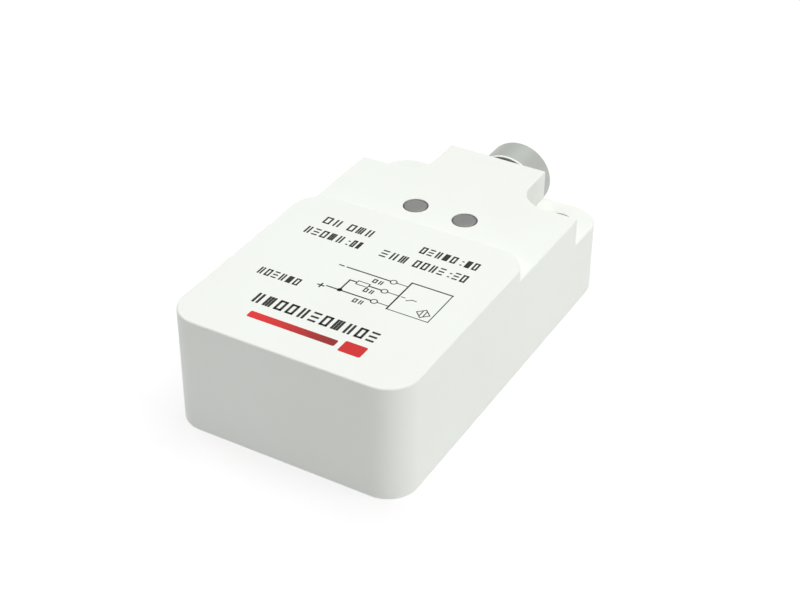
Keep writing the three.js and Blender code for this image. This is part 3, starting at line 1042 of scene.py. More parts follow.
def buildWinding(material):
    # each turn that shows on the outside of the winding is a rounded ridge
    low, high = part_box("sensing_coil")
    inner, outer = winding["inner"], high.x
    profile = [(r, low.z + sunk) for r, sunk in ridges(inner, outer)]
    profile += [(outer - sunk, z) for z, sunk in ridges(low.z, high.z)]
    profile += [(r, high.z - sunk) for r, sunk in ridges(outer, inner)]
    lastSunk = (outer - inner) / winding["ridges"] * winding["standOut"]
    profile.append((inner, high.z - lastSunk))
    made = keepMesh(spunProfile(profile, coilAxis(), upright), "sensingCoilWinding")
    return place(made, material, "enamelled_wire", "sensing_coil")


def wireMesh(name, points, radius):
    # round wire through the points, with closed ends
    curve = bpy.data.curves.new(name, "CURVE")
    curve.dimensions = "3D"
    curve.bevel_depth = radius
    curve.bevel_resolution = 5
    curve.resolution_u = 10
    curve.use_fill_caps = True
    line = curve.splines.new("BEZIER")
    line.bezier_points.add(len(points) - 1)
    for point, spot in zip(line.bezier_points, points):
        point.co = spot
        point.handle_left_type = point.handle_right_type = "AUTO"
    holder = bpy.data.objects.new(name + "Curve", curve)
    scene.collection.objects.link(holder)
    graph = bpy.context.evaluated_depsgraph_get()
    bm = bmesh.new()
    flat = bpy.data.meshes.new_from_object(holder.evaluated_get(graph))
    bm.from_mesh(flat)
    bpy.data.meshes.remove(flat)
    bpy.data.objects.remove(holder)
    bpy.data.curves.remove(curve)
    return bm


def buildCoilLead(node, name, side, material):
    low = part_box(node)[0]
    x, drop = side * coilLead["x"], fromFront(coilLead["dropY"])
    first, second, third, fourth = (z * mm for z in coilLead["heights"])
    points = [(x, low.y + coilLead["start"], first), (x, drop - coilLead["bend"], second)]
    points += [(x, drop, third), (x, drop, fourth), (x, drop, low.z)]
    made = keepMesh(wireMesh(name, points, coilLead["radius"]), name)
    return place(made, material, "enamelled_wire", node)


# potting

potting = {
    "light": (0.016, 0.014, 0.013),
    "dark": (0.03, 0.025, 0.022),
    "cornerR": 3.1 * mm,
    "edge": 0.18 * mm,
}


def pottingResin():
    look = Look("pottingResin")
    flow = look.noise(90, 3, 0.5, 1.5)
    pit = 1 - look.steps(look.cells(700), 0.05, 0.16)
    tone = look.shaded(flow, 0.3, 0.75, potting["light"], potting["dark"])
    rough = 0.16 + flow * 0.16 + pit * 0.2
    relief = look.bump(flow + pit * -0.35, 0.06 * mm, 0.7)
    return look.finish(color=tone, roughness=rough, normal=relief)


def buildPotting(material):
    low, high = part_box("potting_layer")
    fill = block(low, high, potting["cornerR"], potting["edge"], cornerSteps=8, rimSteps=4)
    return place(keepMesh(fill, "pottingFill"), material, "resin", "potting_layer")


# circuit board; its places are in millimetres, across from the middle and along from the front end

board = {
    "green": (0.008, 0.095, 0.03),
    "paleGreen": (0.012, 0.13, 0.042),
    "weave": (0.02, 0.17, 0.06),
    "laminate": (0.32, 0.3, 0.14),
    # both tones and the roughness, and for the copper its grain and how deep that is
    "coveredCopper": ((0.025, 0.24, 0.075), (0.018, 0.18, 0.055), 0.28, 3000, 0.004 * mm),
    "legend": ((0.8, 0.8, 0.76), (0.66, 0.66, 0.62), 0.5),
    "cornerR": 2.6 * mm,
    "edge": 0.05 * mm,
    "toolingHole": (15.4, 7, 1.1),
    "copper": 0.04 * mm,
    "padTall": 1.4,  # as a share of the copper's thickness
    "traceWidth": 0.35,
    # runs of copper under the mask
    "traces": [
        ((-0.8, 34), (-0.8, 36.5), (3.5, 40.2)), ((0.8, 34), (0.8, 35.4), (9.5, 37.8), (12.5, 40.2)),
        ((-3.81, 23), (-3.81, 26), (-7.4, 30), (-7.4, 40)),
        ((-2.54, 23), (-2.54, 27), (-5.6, 31), (-5.6, 40)),
        ((-1.27, 23), (-1.27, 31), (-0.8, 34)), ((1.27, 23), (1.27, 31), (0.8, 34)),
        ((2.54, 23), (2.54, 27), (10, 34.5), (14.5, 39), (14.5, 43)),
        ((3.81, 23), (3.81, 26), (12.5, 34.7), (16.4, 39), (16.4, 50), (13.2, 52)),
        ((6, 51.2), (6.8, 52), (8.8, 52)),
        ((-6, 51.2), (-8, 53.1), (-12.5, 53.1), (-16.4, 50), (-16.4, 44)),
        ((2, 51.2), (2, 53), (15.4, 53.2), (15.4, 49), (12.2, 48.8)), ((-9.1, 47.4), (-11, 49)),
        ((-7.3, 47.4), (-6, 47.4)), ((-3, 47.4), (-0.9, 47.4)), ((0.9, 47.4), (3, 47.4)),
        ((6, 47.4), (9.9, 43.5)),
        ((-3.81, 17), (-3.81, 13), (-6, 10.8), (-14.4, 10.8), (-16.4, 13), (-16.4, 44)),
        ((-2.54, 17), (-2.54, 9.4), (14, 9.4), (15.6, 11), (15.6, 36)),
        ((0, 17), (0, 14), (2.5, 11.5), (12, 11.5)),
        ((-2.3, 41), (-5.6, 42.4)), ((2.3, 41), (4, 43), (9.9, 43)), ((-7.4, 42.4), (-9.4, 43.4)),
        ((3.81, 17), (3.81, 15), (9, 15), (12, 18), (12, 26)), ((1.27, 17), (1.27, 7), (-10, 7)),
    ],
    # tinned pads: half width, half length, and where each one is
    "pads": [
        (0.7, 0.6, [(-0.8, 34), (0.8, 34)]),
        (0.8, 0.8, [(6, 51.2), (-6, 51.2), (2, 51.2)]),
        (0.6, 1.3, [(9.9, 43.3), (12.2, 43.3), (14.5, 43.3)]),
        (2.0, 1.2, [(12.2, 48.8)]),
        (0.5, 0.9, [(-14, 49.2), (-12.5, 49.2), (-11, 49.2)]),
        (1.1, 0.6, [(-12.5, 52.7)]),
        (0.65, 1.0, [(8.75, 52), (13.25, 52)]),
        (0.65, 1.3, [(-2.4, 41), (2.4, 41)]),
        (0.5, 0.75, [(-7.45, 40), (-5.55, 40), (-7.45, 42.4), (-5.55, 42.4)]),
        (0.5, 0.75, [(-9.15, 47.4), (-7.25, 47.4), (-0.95, 47.4), (0.95, 47.4)]),
        (0.45, 1.2, [(-6.1, 47.4), (-2.9, 47.4), (2.9, 47.4), (6.1, 47.4)]),
        (0.6, 1.1, [(-16.2, 44), (-9.0, 44)]),
        (0.6, 1.0, [(4.6, 40.2), (11.4, 40.2)]),
    ],
    "solderedEnds": [(-0.8, 34), (0.8, 34), (6, 51.2), (-6, 51.2), (2, 51.2)],
    "solder": (0.62, 0.5, 0.5),  # radius, height and how much of the radius is left at its top
    "testPoints": [
        (12, 11.5), (12, 26), (15.6, 36), (-10, 7), (-14.4, 10.8), (9, 34.5), (-12, 30), (-12, 26),
        (-9, 52.4),
    ],
    "testPointR": 0.55,
    # printed outlines round the parts: x, y, half width, half length
    "outlines": [
        (0, 20, 4.9, 2.3), (12.2, 46, 3.6, 2.0), (-12.5, 51, 2.5, 1.4), (11, 52, 2.2, 1.5),
        (0, 41, 2.1, 2.0), (-12.6, 44, 3.6, 3.6), (8, 40.2, 3.8, 1.7), (-4.5, 47.4, 1.8, 1.6),
        (4.5, 47.4, 1.8, 1.6),
    ],
    "outlineWidth": 0.14,
    "outlineTall": 0.02 * mm,
    "outlineDot": (0.35, 0.16),  # how far left of the corner beside the first contact, and its radius
}
chip = {
    "x": 0,
    "y": 20,
    "body": (8.7, 3.9, 0.1, 1.6, 0.14),  # long, wide, bottom, top, edge
    "dimple": (-3.5, 18.9),
    "legs": 7,
    "pitch": 1.27,
    "leg": (0.42, 1.95, 3.0),  # width, start, foot
    "padOut": 2.95,
    "padHalf": (0.3, 0.6),
}


def boardTop():
    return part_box("circuit_board")[1].z


def legPlaces():
    # how far each of the chip's legs is from its middle
    return [(i - (chip["legs"] - 1) / 2) * chip["pitch"] for i in range(chip["legs"])]


def flatBox(bm, x, y, halfX, halfY, z, thick):
    low = ((x - halfX) * mm, fromFront((y - halfY) * mm), z)
    addCube(bm, low, ((x + halfX) * mm, fromFront((y + halfY) * mm), z + thick))


def flatLine(bm, a, b, wide, z, thick):
    a, b = Vector(a) * mm, Vector(b) * mm
    middle = (a + b) / 2
    turn = math.atan2(b.y - a.y, b.x - a.x)
    size = Matrix.Diagonal(((b - a).length + wide * mm, wide * mm, thick, 1))
    spot = Matrix.Translation((middle.x, fromFront(middle.y), z + thick / 2))
    bmesh.ops.create_cube(bm, size=1, matrix=spot @ Matrix.Rotation(turn, 4, "Z") @ size)


def flatDisc(bm, x, y, radius, z, thick, top=1.0):
    spot = Matrix.Translation((x * mm, fromFront(y * mm), z + thick / 2))
    bmesh.ops.create_cone(
        bm, cap_ends=True, segments=28, radius1=radius * mm, radius2=radius * top * mm,
        depth=thick, matrix=spot,
    )


def solderMask():
    # green mask over woven laminate; the cut edge shows the laminate
    look = Look("solderMask")
    low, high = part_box("circuit_board")
    skin = 0.1 * mm
    z = look.axis("Z")
    weave, weft = look.bands("X", 420, 0.4), look.bands("Y", 420, 0.4)
    cloud = look.noise(180, 3, 0.6)
    green = look.shaded(cloud, 0.3, 0.7, board["green"], board["paleGreen"])
    green = look.mixed(weave * weft * 0.25, green, board["weave"])
    edge = (z > low.z + skin) * (z < high.z - skin)
    tone = look.mixed(edge, green, board["laminate"])
    rough = 0.3 + edge * 0.4 + (cloud - 0.5) * 0.1
    relief = look.bump(weave + weft, 0.006 * mm, 0.5)
    return look.finish(color=tone, roughness=rough, normal=relief)


def boardTraces(top):
    # stretches of a run differ a little in thickness, so no two tops lie in one plane
    bm = bmesh.new()
    for run in board["traces"]:
        for number, (a, b) in enumerate(zip(run, run[1:])):
            thick = board["copper"] * (1 - 0.12 * (number % 3))
            flatLine(bm, a, b, board["traceWidth"], top, thick)
    return keepMesh(bm, "boardTraces")


def boardPads(top):
    bm = bmesh.new()
    tall = board["copper"] * board["padTall"]
    for halfX, halfY, spots in board["pads"]:
        for x, y in spots:
            flatBox(bm, x, y, halfX, halfY, top, tall)
    for across in legPlaces():
        for side in (-1, 1):
            y = chip["y"] + side * chip["padOut"]
            flatBox(bm, chip["x"] + across, y, *chip["padHalf"], top, tall)
    for x, y in board["testPoints"]:
        flatDisc(bm, x, y, board["testPointR"], top, tall)
    radius, height, left = board["solder"]
    for x, y in board["solderedEnds"]:
        flatDisc(bm, x, y, radius, top, height * mm, left)
    return keepMesh(bm, "boardPads")


def boardLegend(z):
    bm = bmesh.new()
    wide, tall = board["outlineWidth"], board["outlineTall"]
    left, dotR = board["outlineDot"]
    for x, y, hx, hy in board["outlines"]:
        corners = [(x - hx, y - hy), (x + hx, y - hy), (x + hx, y + hy), (x - hx, y + hy)]
        for a, b in zip(corners, corners[1:] + corners[:1]):
            flatLine(bm, a, b, wide, z, tall)
        flatDisc(bm, x - hx - left, y - hy, dotR, z, tall)
    return keepMesh(bm, "boardLegend")


def buildBoard(mask, coveredCopper, tin, legend):
    low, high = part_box("circuit_board")
    laminate = block(low, high, board["cornerR"], board["edge"], cornerSteps=8, rimSteps=2)
    made = keepMesh(laminate, "circuitBoardLaminate")
    holeX, holeY, holeR = board["toolingHole"]
    for side in (-1, 1):
        spot = (side * holeX * mm, fromFront(holeY * mm), 0)
        turnedCut(made, plug(holeR * mm, low.z - mm, high.z + mm), spot)
    place(made, mask, "board", "circuit_board")
    place(boardTraces(high.z), coveredCopper, "board")
    place(boardPads(high.z), tin, "capacitor_can")
    place(boardLegend(high.z + board["copper"]), legend, "board")


# parts on the board, in millimetres as the board is, with heights above it

partFinish = {
    # both tones, the roughness, and how the tin's lines are stretched or the epoxy's grain
    "tin": ((0.7, 0.7, 0.68), (0.56, 0.56, 0.55), 0.34, (1800, 700, 1800)),
    "epoxy": ((0.016, 0.016, 0.017), (0.027, 0.027, 0.028), 0.56, 4200),
}
packages = {
    # body: name, x, y, long, wide, bottom, top, edge; dimple: x, y, radius
    # legs: offsets across, width, start, foot, knee; tab: x, y, long, wide, top
    "output_transistor": {
        "body": ("outputTransistor", 12.2, 46, 6.5, 3.5, 0.1, 1.7, 0.14), "dimple": (9.7, 45, 0.35),
        "legs": ((-2.3, 0, 2.3), 0.7, 1.75, 3.6, 0.55), "tab": (12.2, 48.4, 3, 2.4, 0.42),
    },
    "voltage_regulator": {
        "body": ("voltageRegulator", -12.5, 51, 4.5, 2.5, 0.05, 1.5, 0.12), "dimple": (-14.1, 50.3, 0.25),
        "legs": ((-1.5, 0, 1.5), 0.45, 1.25, 2.3, 0.35), "tab": (-12.5, 52.4, 1.7, 1.1, 0.4),
    },
}
diodes = {
    # name, x, y, long, wide, top, width of the tabs
    "reverse_polarity_diode": ("reversePolarityDiode", 11, 52, 4, 2.6, 2.2, 1.5),
    "surge_suppressor": ("surgeSuppressor", 0, 41, 4.3, 3.6, 2.3, 2),
}
# tabs at both ends of a diode: how far out from its end, long, top, edge
diodeTabs = ((0.12, 0.24, 1.2, 0.06), (-0.25, 0.98, 0.16, 0.04))
diodeBottom, diodeEdge = 0.1, 0.16
leg = {"thick": 0.2, "tuck": 0.2, "knee": 0.6}


def onBoard(node):
    # middle of a node, in the board's millimetres
    centre = nodeMiddle(node)
    return centre.x / mm, (centre.y - frontY) / mm


def softBox(bm, x, y, long, wide, low, high, edge, cornerR=0.0):
    # adds a box with eased edges
    base = boardTop()
    corner = (x * mm - long * mm / 2, fromFront(y * mm) - wide * mm / 2, base + low * mm)
    far = (x * mm + long * mm / 2, fromFront(y * mm) + wide * mm / 2, base + high * mm)
    part = block(corner, far, cornerR * mm, cornerSteps=4)
    edges = part.edges[:]
    if cornerR:
        edges = [e for e in part.edges if isRim(e, corner[2], far[2])]
    bevelEdges(part, edges, edge * mm, 2)
    return addTo(bm, part)


def endTabs(bm, x, y, out, long, wide, top, edge):
    # the same tab at both ends of a part, standing on the board
    for side in (-1, 1):
        softBox(bm, x + side * out, y, long, wide, 0.0, top, edge)


def bentLeg(bm, x, wide, start, foot, turn, centre, knee=leg["knee"]):
    # leg of flat strip from the package's side down to its foot; turn is where it points, in degrees
    t = leg["thick"]
    run = foot - start
    tucked = start - leg["tuck"]
    # from the package along the top of the strip to the foot, and back below it
    outline = [
        (tucked, knee + t), (start + run * 0.35, knee + t), (start + run * 0.5, knee + t * 0.4),
        (start + run * 0.58, t), (foot, t), (foot, 0), (start + run * 0.45, 0),
        (start + run * 0.36, knee - t * 0.4), (start + run * 0.3, knee), (tucked, knee),
    ]
    points = [bm.verts.new(((x - wide / 2) * mm, out * mm, up * mm)) for out, up in outline]
    grown = bmesh.ops.extrude_face_region(bm, geom=[bm.faces.new(points)])
    moved = [g for g in grown["geom"] if isinstance(g, bmesh.types.BMVert)]
    bmesh.ops.translate(bm, verts=moved, vec=(wide * mm, 0, 0))
    spot = Matrix.Translation((centre[0] * mm, fromFront(centre[1] * mm), boardTop()))
    turned = spot @ Matrix.Rotation(math.radians(turn), 4, "Z")
    bmesh.ops.transform(bm, verts=points + moved, matrix=turned)


def dimple(made, x, y, top, radius=0.35):
    z = boardTop() + top * mm
    profile = plug(radius * mm * 0.8, z - 0.08 * mm, z + 0.05 * mm, radius * mm)
    turnedCut(made, profile, (x * mm, fromFront(y * mm), 0), steps=24)


def buildChip(epoxy, tin):
    centre = (chip["x"], chip["y"])
    body = keepMesh(softBox(bmesh.new(), *centre, *chip["body"]), "sensingChipBody")
    dimple(body, *chip["dimple"], chip["body"][3])
    place(body, epoxy, "chip", "sensing_chip")
    legs = bmesh.new()
    for across in legPlaces():
        for turn in (0, 180):
            bentLeg(legs, across, *chip["leg"], turn, centre)
    place(keepMesh(legs, "sensingChipLegs"), tin, "capacitor_can")


def buildPackages(epoxy, tin):
    for node, values in packages.items():
        name, x, y, long, wide, bottom, top, edge = values["body"]
        body = keepMesh(softBox(bmesh.new(), x, y, long, wide, bottom, top, edge), name + "Body")
        dimpleX, dimpleY, dimpleR = values["dimple"]
        dimple(body, dimpleX, dimpleY, top, dimpleR)
        place(body, epoxy, "chip", node)
        offsets, strip, start, foot, knee = values["legs"]
        legs = bmesh.new()
        for across in offsets:
            bentLeg(legs, across, strip, start, foot, 180, (x, y), knee)
        tabX, tabY, tabLong, tabWide, tabTop = values["tab"]
        softBox(legs, tabX, tabY, tabLong, tabWide, 0.0, tabTop, 0.06)
        place(keepMesh(legs, name + "Legs"), tin, "capacitor_can")
    for node, (name, x, y, long, wide, top, tab) in diodes.items():
        body = softBox(bmesh.new(), x, y, long, wide, diodeBottom, top, diodeEdge)
        place(keepMesh(body, name + "Body"), epoxy, "chip", node)
        tabs = bmesh.new()
        for out, tabLong, tabTop, edge in diodeTabs:
            endTabs(tabs, x, y, long / 2 + out, tabLong, tab, tabTop, edge)
        place(keepMesh(tabs, name + "Tabs"), tin, "capacitor_can")


resistor = {
    "nodes": {
        "range_resistor": "rangeResistor", "bias_resistor": "biasResistor",
        "power_led_resistor": "powerLedResistor", "output_led_resistor": "outputLedResistor",
    },
    "glaze": (0.012, 0.012, 0.014),
    "worn": (0.028, 0.028, 0.03),
    "ceramic": (0.72, 0.7, 0.66),
    "tinned": (0.66, 0.66, 0.65),
    "glazeFrom": 0.18 * mm,  # above the middle
    "capFrom": 0.66 * mm,
    "capFull": 0.7 * mm,
    "body": (1.5, 1.2, 0.03, 0.47, 0.04),  # long, wide, bottom, top, edge
    "cap": (0.83, 0.34, 1.25, 0.5, 0.06),  # how far out, long, wide, top, edge
}


def resistorLook(name, node):
    # dark glaze on top, ceramic at the sides, tinned at both ends
    look = Look(name)
    centre = nodeMiddle(node)
    grain = look.noise(5200, 3, 0.6)
    cap = look.steps(abs(look.axis("X") - centre.x), resistor["capFrom"], resistor["capFull"])
    glaze = look.shaded(grain, 0.3, 0.7, resistor["glaze"], resistor["worn"])
    glazed = look.axis("Z") > centre.z + resistor["glazeFrom"]
    tone = look.mixed(cap, look.mixed(glazed, resistor["ceramic"], glaze), resistor["tinned"])
    rough = 0.28 + grain * 0.16 + cap * 0.08
    relief = look.bump(grain, 0.008 * mm, 0.5)
    return look.finish(color=tone, roughness=rough, metallic=cap * 0.95, normal=relief)


def buildResistors():
    for node, name in resistor["nodes"].items():
        bm = softBox(bmesh.new(), *onBoard(node), *resistor["body"])
        endTabs(bm, *onBoard(node), *resistor["cap"])
        material = resistorLook(name + "Finish", node)
        place(keepMesh(bm, name + "Chip"), material, "resistor", node)


can = {
    "light": (0.72, 0.73, 0.74),
    "dark": (0.6, 0.61, 0.62),
    "band": (0.02, 0.02, 0.022),
    "bandTall": 0.2 * mm,
    "bandFrom": 1.3 * mm,
    "radius": 3.1 * mm,
    "height": 5.3 * mm,
    "crimpStart": 0.9 * mm,
    "crimpEnd": 1.5 * mm,
    "crimpDepth": 0.2 * mm,
    "crimp": ((0, 0), (0.25, 0.6), (0.5, 1), (0.75, 0.6), (1, 0)),  # its curve, as shares of both
    "edge": 0.35 * mm,
    "topLip": 0.7 * mm,
    "topSlope": 0.1 * mm,
    "topSink": 0.08 * mm,
    "foot": (6.6, 6.6, 0.0, 0.9, 0.1, 0.9),  # long, wide, bottom, top, edge, corners
}
film = {
    "light": (0.33, 0.035, 0.02),
    "dark": (0.24, 0.022, 0.014),
    "body": (7.2, 3, 0.35, 5.5, 0.3, 0.6),  # long, wide, bottom, top, edge, corners
    "lug": (2.9, 1.0, 2.4, 0.6, 0.08),  # how far out, long, wide, top, edge
}


def canLook():
    # drawn aluminium, with a dark band on the top for the negative side
    look = Look("drawnAluminium")
    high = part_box("input_capacitor")[1]
    centre = nodeMiddle("input_capacitor")
    lines = look.noise(1, 3, 0.6, at=look.stretched((900, 900, 9000)))
    haze = look.noise(220, 4, 0.6)
    onTop = look.axis("Z") > high.z - can["bandTall"]
    band = onTop * (look.axis("X") < centre.x - can["bandFrom"])
    tone = look.shaded(haze, 0.35, 0.7, can["light"], can["dark"])
    tone = look.mixed(band, tone, can["band"])
    rough = 0.28 + (lines - 0.5) * 0.16 + band * 0.3
    relief = look.bump(lines, 0.004 * mm, 0.5)
    return look.finish(color=tone, roughness=rough, metallic=1 - band, normal=relief)


def filmLook():
    look = Look("dippedFilmResin")
    peel = look.noise(620, 2, 0.5)
    cloud = look.noise(180, 3, 0.6)
    tone = look.shaded(cloud, 0.3, 0.7, film["light"], film["dark"])
    relief = look.bump(peel, 0.03 * mm, 0.5)
    return look.finish(color=tone, roughness=0.26 + cloud * 0.14, normal=relief, coat=0.3)


def buildInputCapacitor(epoxy, aluminium):
    node = "input_capacitor"
    foot = softBox(bmesh.new(), *onBoard(node), *can["foot"])
    place(keepMesh(foot, "inputCapacitorFoot"), epoxy, "chip", node)
    centre, top = nodeMiddle(node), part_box(node)[1].z
    r, edge, bottom = can["radius"], can["edge"], top - can["height"]
    start, end, deep = bottom + can["crimpStart"], bottom + can["crimpEnd"], can["crimpDepth"]
    profile = [(0, bottom), (r, bottom)]
    for share, sunk in can["crimp"]:
        profile.append((r - sunk * deep, start + share * (end - start)))
    profile += arcPoints(r - edge, top - edge, edge, 0, 90, 5)
    lip, sink = r - can["topLip"], can["topSink"]
    profile += [(lip, top), (lip - can["topSlope"], top - sink), (0, top - sink)]
    made = keepMesh(spunProfile(profile, (centre.x, centre.y, 0), upright, 72), "inputCapacitorCan")
    place(made, aluminium, "capacitor_can", node)


def buildResonanceCapacitor(material):
    node = "resonance_capacitor"
    bm = softBox(bmesh.new(), *onBoard(node), *film["body"])
    endTabs(bm, *onBoard(node), *film["lug"])
    place(keepMesh(bm, "resonanceCapacitorBlock"), material, "film_capacitor", node)


lamp = {
    "finish": ((0.8, 0.78, 0.72), (0.72, 0.7, 0.63), 0.4),
    "body": (3.0, 2.8, 0.05, 1.9, 0.1),
    "cup": (0.9, 1.2, 2.2, 1.2),  # radius and height of its floor, then height and radius of its mouth
    "tabs": ((1.5, 0.2, 1.8, 0.8, 0.05), (1.25, 0.7, 1.8, 0.12, 0.03)),
    "lens": ((0, 1.22), (0.88, 1.22), (1.08, 1.82), (0.8, 1.88), (0.4, 1.91), (0, 1.92)),
    "green": ((0.3, 0.62, 0.2), (0.16, 0.4, 0.1)),
    "yellow": ((0.8, 0.5, 0.08), (0.5, 0.26, 0.03)),
}


def diffusedLens(name, node, color, deep):
    look = Look(name)
    away = look.nearness(look.axis("X"), look.axis("Y"), nodeMiddle(node))
    cloud = look.noise(900, 2, 0.5)
    tone = look.shaded(away, 0.1 * mm, 0.9 * mm, color, deep)
    relief = look.bump(cloud, 0.01 * mm, 0.3)
    return look.finish(color=tone, roughness=0.14 + cloud * 0.12, normal=relief, coat=0.4)


def buildLamp(node, name, body, lens, tin):
    centre, base = nodeMiddle(node), boardTop()
    spot = (centre.x, centre.y, 0)
    made = keepMesh(softBox(bmesh.new(), *onBoard(node), *lamp["body"]), name + "Body")
    floorR, floorZ, mouthZ, mouthR = (value * mm for value in lamp["cup"])
    turnedCut(made, plug(floorR, base + floorZ, base + mouthZ, mouthR), spot)
    place(made, body, "led_body", node)
    dome = [(r * mm, base + z * mm) for r, z in lamp["lens"]]
    place(keepMesh(spunProfile(dome, spot, upright, 40), name + "Lens"), lens, "led_body")
    tabs = bmesh.new()
    for tab in lamp["tabs"]:
        endTabs(tabs, *onBoard(node), *tab)
    place(keepMesh(tabs, name + "Tabs"), tin, "capacitor_can")


# wires from the contacts to the board

leadWire = {
    "radius": 0.4 * mm,
    # each way out of the solder cup: how far along, and how far below the contact
    "inCup": 1.6 * mm,
    "firstBend": (1.2 * mm, 0.15 * mm),
    "middle": 2.4 * mm,
    "drop": 2.8 * mm,
    "dropFrom": 1.2 * mm,  # above the board
    "end": 0.05 * mm,
    # node: name, contact, x of its pad in millimetres, slot, light and dark tone
    "wires": {
        "supply_wire": (
            "supplyWire", "contact_pin_1", 6, "brown_sleeve", (0.12, 0.045, 0.02), (0.085, 0.03, 0.014),
        ),
        "ground_wire": (
            "groundWire", "contact_pin_3", -6, "blue_sleeve", (0.015, 0.08, 0.33), (0.01, 0.055, 0.24),
        ),
        "output_wire": (
            "outputWire", "contact_pin_4", 2, "black_sleeve", (0.014, 0.014, 0.015), (0.026, 0.026, 0.027),
        ),
    },
}


def sleeveLook(name, light, dark):
    # extruded insulation, faint lines along the wire
    look = Look(name)
    lines = look.noise(1, 2, 0.5, at=look.stretched((4200, 500, 4200)))
    cloud = look.noise(420, 3, 0.6)
    tone = look.shaded(cloud, 0.3, 0.7, light, dark)
    rough = 0.38 + (lines - 0.5) * 0.16 + (cloud - 0.5) * 0.1
    return look.finish(color=tone, roughness=rough, normal=look.bump(lines, 0.006 * mm, 0.5))


def buildLeadWires():
    base = boardTop()
    for node, (name, contact, padX, slotName, light, dark) in leadWire["wires"].items():
        cupEnd, centre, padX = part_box(contact)[0].y, nodeMiddle(contact), padX * mm
        x, z = centre.x, centre.z
        bend, sag = leadWire["firstBend"]
        padY = cupEnd - leadWire["drop"]
        points = [(x, cupEnd + leadWire["inCup"], z), (x, cupEnd, z), (x, cupEnd - bend, z - sag)]
        points += [((x + padX) / 2, cupEnd - leadWire["middle"], (z + base) / 2)]
        points += [(padX, padY, base + leadWire["dropFrom"]), (padX, padY, base + leadWire["end"])]
        made = keepMesh(wireMesh(name, points, leadWire["radius"]), name)
        place(made, sleeveLook(name + "Sleeve", light, dark), slotName, node)


# printing on the sensing face, in millimetres across from the middle and along from the front end

ink = {
    "black": (0.006, 0.006, 0.0065),
    "wornBlack": (0.02, 0.02, 0.021),
    "red": (0.72, 0.02, 0.022),
    "deepRed": (0.24, 0.008, 0.008),
    "blockRed": (0.6, 0.012, 0.014),
    "wornRed": (0.75, 0.05, 0.05),
    "sunk": 3 * shell["inkDepth"],  # a print reaches this far down into the face
    "fine": 0.16,
    "bold": 0.25,
    # plain block marks in place of words: x of both ends, y of the middle, height, stroke, marks
    "words": [
        (-13.1, -9.6, 33.5, 1.95, 0.31, 2), (-8.7, -3.8, 33.5, 1.95, 0.31, 3),
        (4.3, 10.9, 33.5, 1.85, 0.31, 5), (12.1, 14.6, 33.5, 1.95, 0.31, 2),
        (-14.3, -7.0, 29.75, 1.95, 0.31, 5), (-5.9, -3.9, 29.75, 1.95, 0.31, 2),
        (-0.6, 4.4, 29.75, 1.95, 0.31, 3), (5.2, 10.8, 29.75, 1.95, 0.31, 4),
        (12.0, 14.6, 29.75, 1.95, 0.31, 2),
        (-14.2, -6.6, 16.5, 1.8, 0.29, 6), (-10.7, 10.8, 10.15, 2.5, 0.42, 11),
        (2.2, 4.2, 22.55, 1.0, 0.21, 2), (2.2, 4.2, 19.8, 1.0, 0.21, 2), (2.2, 4.2, 16.7, 1.0, 0.21, 2),
    ],
    # strokes of each kind of mark, as shares of its width and height
    "marks": [
        ((0, 0, 0, 1), (0, 0, 0.95, 0), (0.95, 0, 0.95, 1), (0, 1, 0.95, 1)),
        ((0.12, 0, 0.12, 1), (0.82, 0, 0.82, 1)),
        ((0, 0.02, 0.9, 0.02), (0, 0.5, 0.9, 0.5), (0, 0.98, 0.9, 0.98)),
        ((0, 0, 0, 1), (0.45, 0, 0.45, 1), (0.9, 0, 0.9, 1)),
    ],
    "markOrder": (0, 1, 2, 0, 3, 1, 0, 2, 1, 3, 0),
    "markFill": 0.74,  # how much of its cell a mark takes up
    "narrowCell": 1.1,  # a narrower cell has only the two simplest marks
    "colons": ((11.5, 33.3), (11.4, 29.55), (-6.45, 29.55)),
    "colonDot": (0.05, 0.5, 0.27),  # half its length, how far from the middle, width
    # circuit symbol
    "wireRows": (17.9, 20.95, 23.7),
    "terminal": (5.1, 0.5),  # x and radius of the ring on each wire
    "terminalLine": (5.7, 7.5),
    "boldLines": (
        (-3.0, 23.7, 4.5, 23.7), (-3.0, 17.9, 4.5, 17.9), (2.5, 20.95, 4.5, 20.95),
        (-0.85, 20.95, 0.3, 20.95), (-0.85, 17.9, -0.85, 20.95), (7.6, 24.9, 14.5, 24.9),
        (7.6, 17.2, 7.6, 24.9), (-4.3, 23.7, -3.6, 23.7), (-4.4, 17.6, -3.4, 17.6),
        (-3.9, 17.1, -3.9, 18.1),
    ),
    "fineLines": (
        (0.4, 20.5, 2.4, 20.5), (0.4, 21.4, 2.4, 21.4), (0.4, 20.5, 0.4, 21.4), (2.4, 20.5, 2.4, 21.4),
        (7.6, 17.2, 14.5, 17.2), (14.5, 17.2, 14.5, 24.9),
        (8.0, 20.95, 8.6, 20.95), (9.1, 20.4, 9.8, 20.95), (9.8, 20.95, 10.5, 20.95),
        (11.8, 18.75, 12.9, 19.8), (12.9, 19.8, 14.0, 18.75), (14.0, 18.75, 12.9, 17.7),
        (12.9, 17.7, 11.8, 18.75), (12.6, 18.2, 12.6, 19.3), (13.2, 18.2, 13.2, 19.3),
    ),
    "junction": (-0.85, 17.95, 0.42),
    # red patches: x of both ends, y of the middle, height
    "patches": {"faceStripe": (-9.1, 5.8, 6.2, 1.5), "faceBlock": (6.7, 10.4, 6.2, 2.6)},
    "patchCorner": 0.3,
}


def inkLook(name, toneOf):
    # toneOf works out the tone from the look and the ink's patchy wear
    look = Look(name)
    patch = look.noise(2400, 3, 0.6)
    rough = 0.42 + (patch - 0.5) * 0.2
    relief = look.bump(patch, 0.004 * mm, 0.4)
    return look.finish(color=toneOf(look, patch), roughness=rough, normal=relief)


def blackTone(look, patch):
    return look.shaded(patch, 0.3, 0.8, ink["black"], ink["wornBlack"])


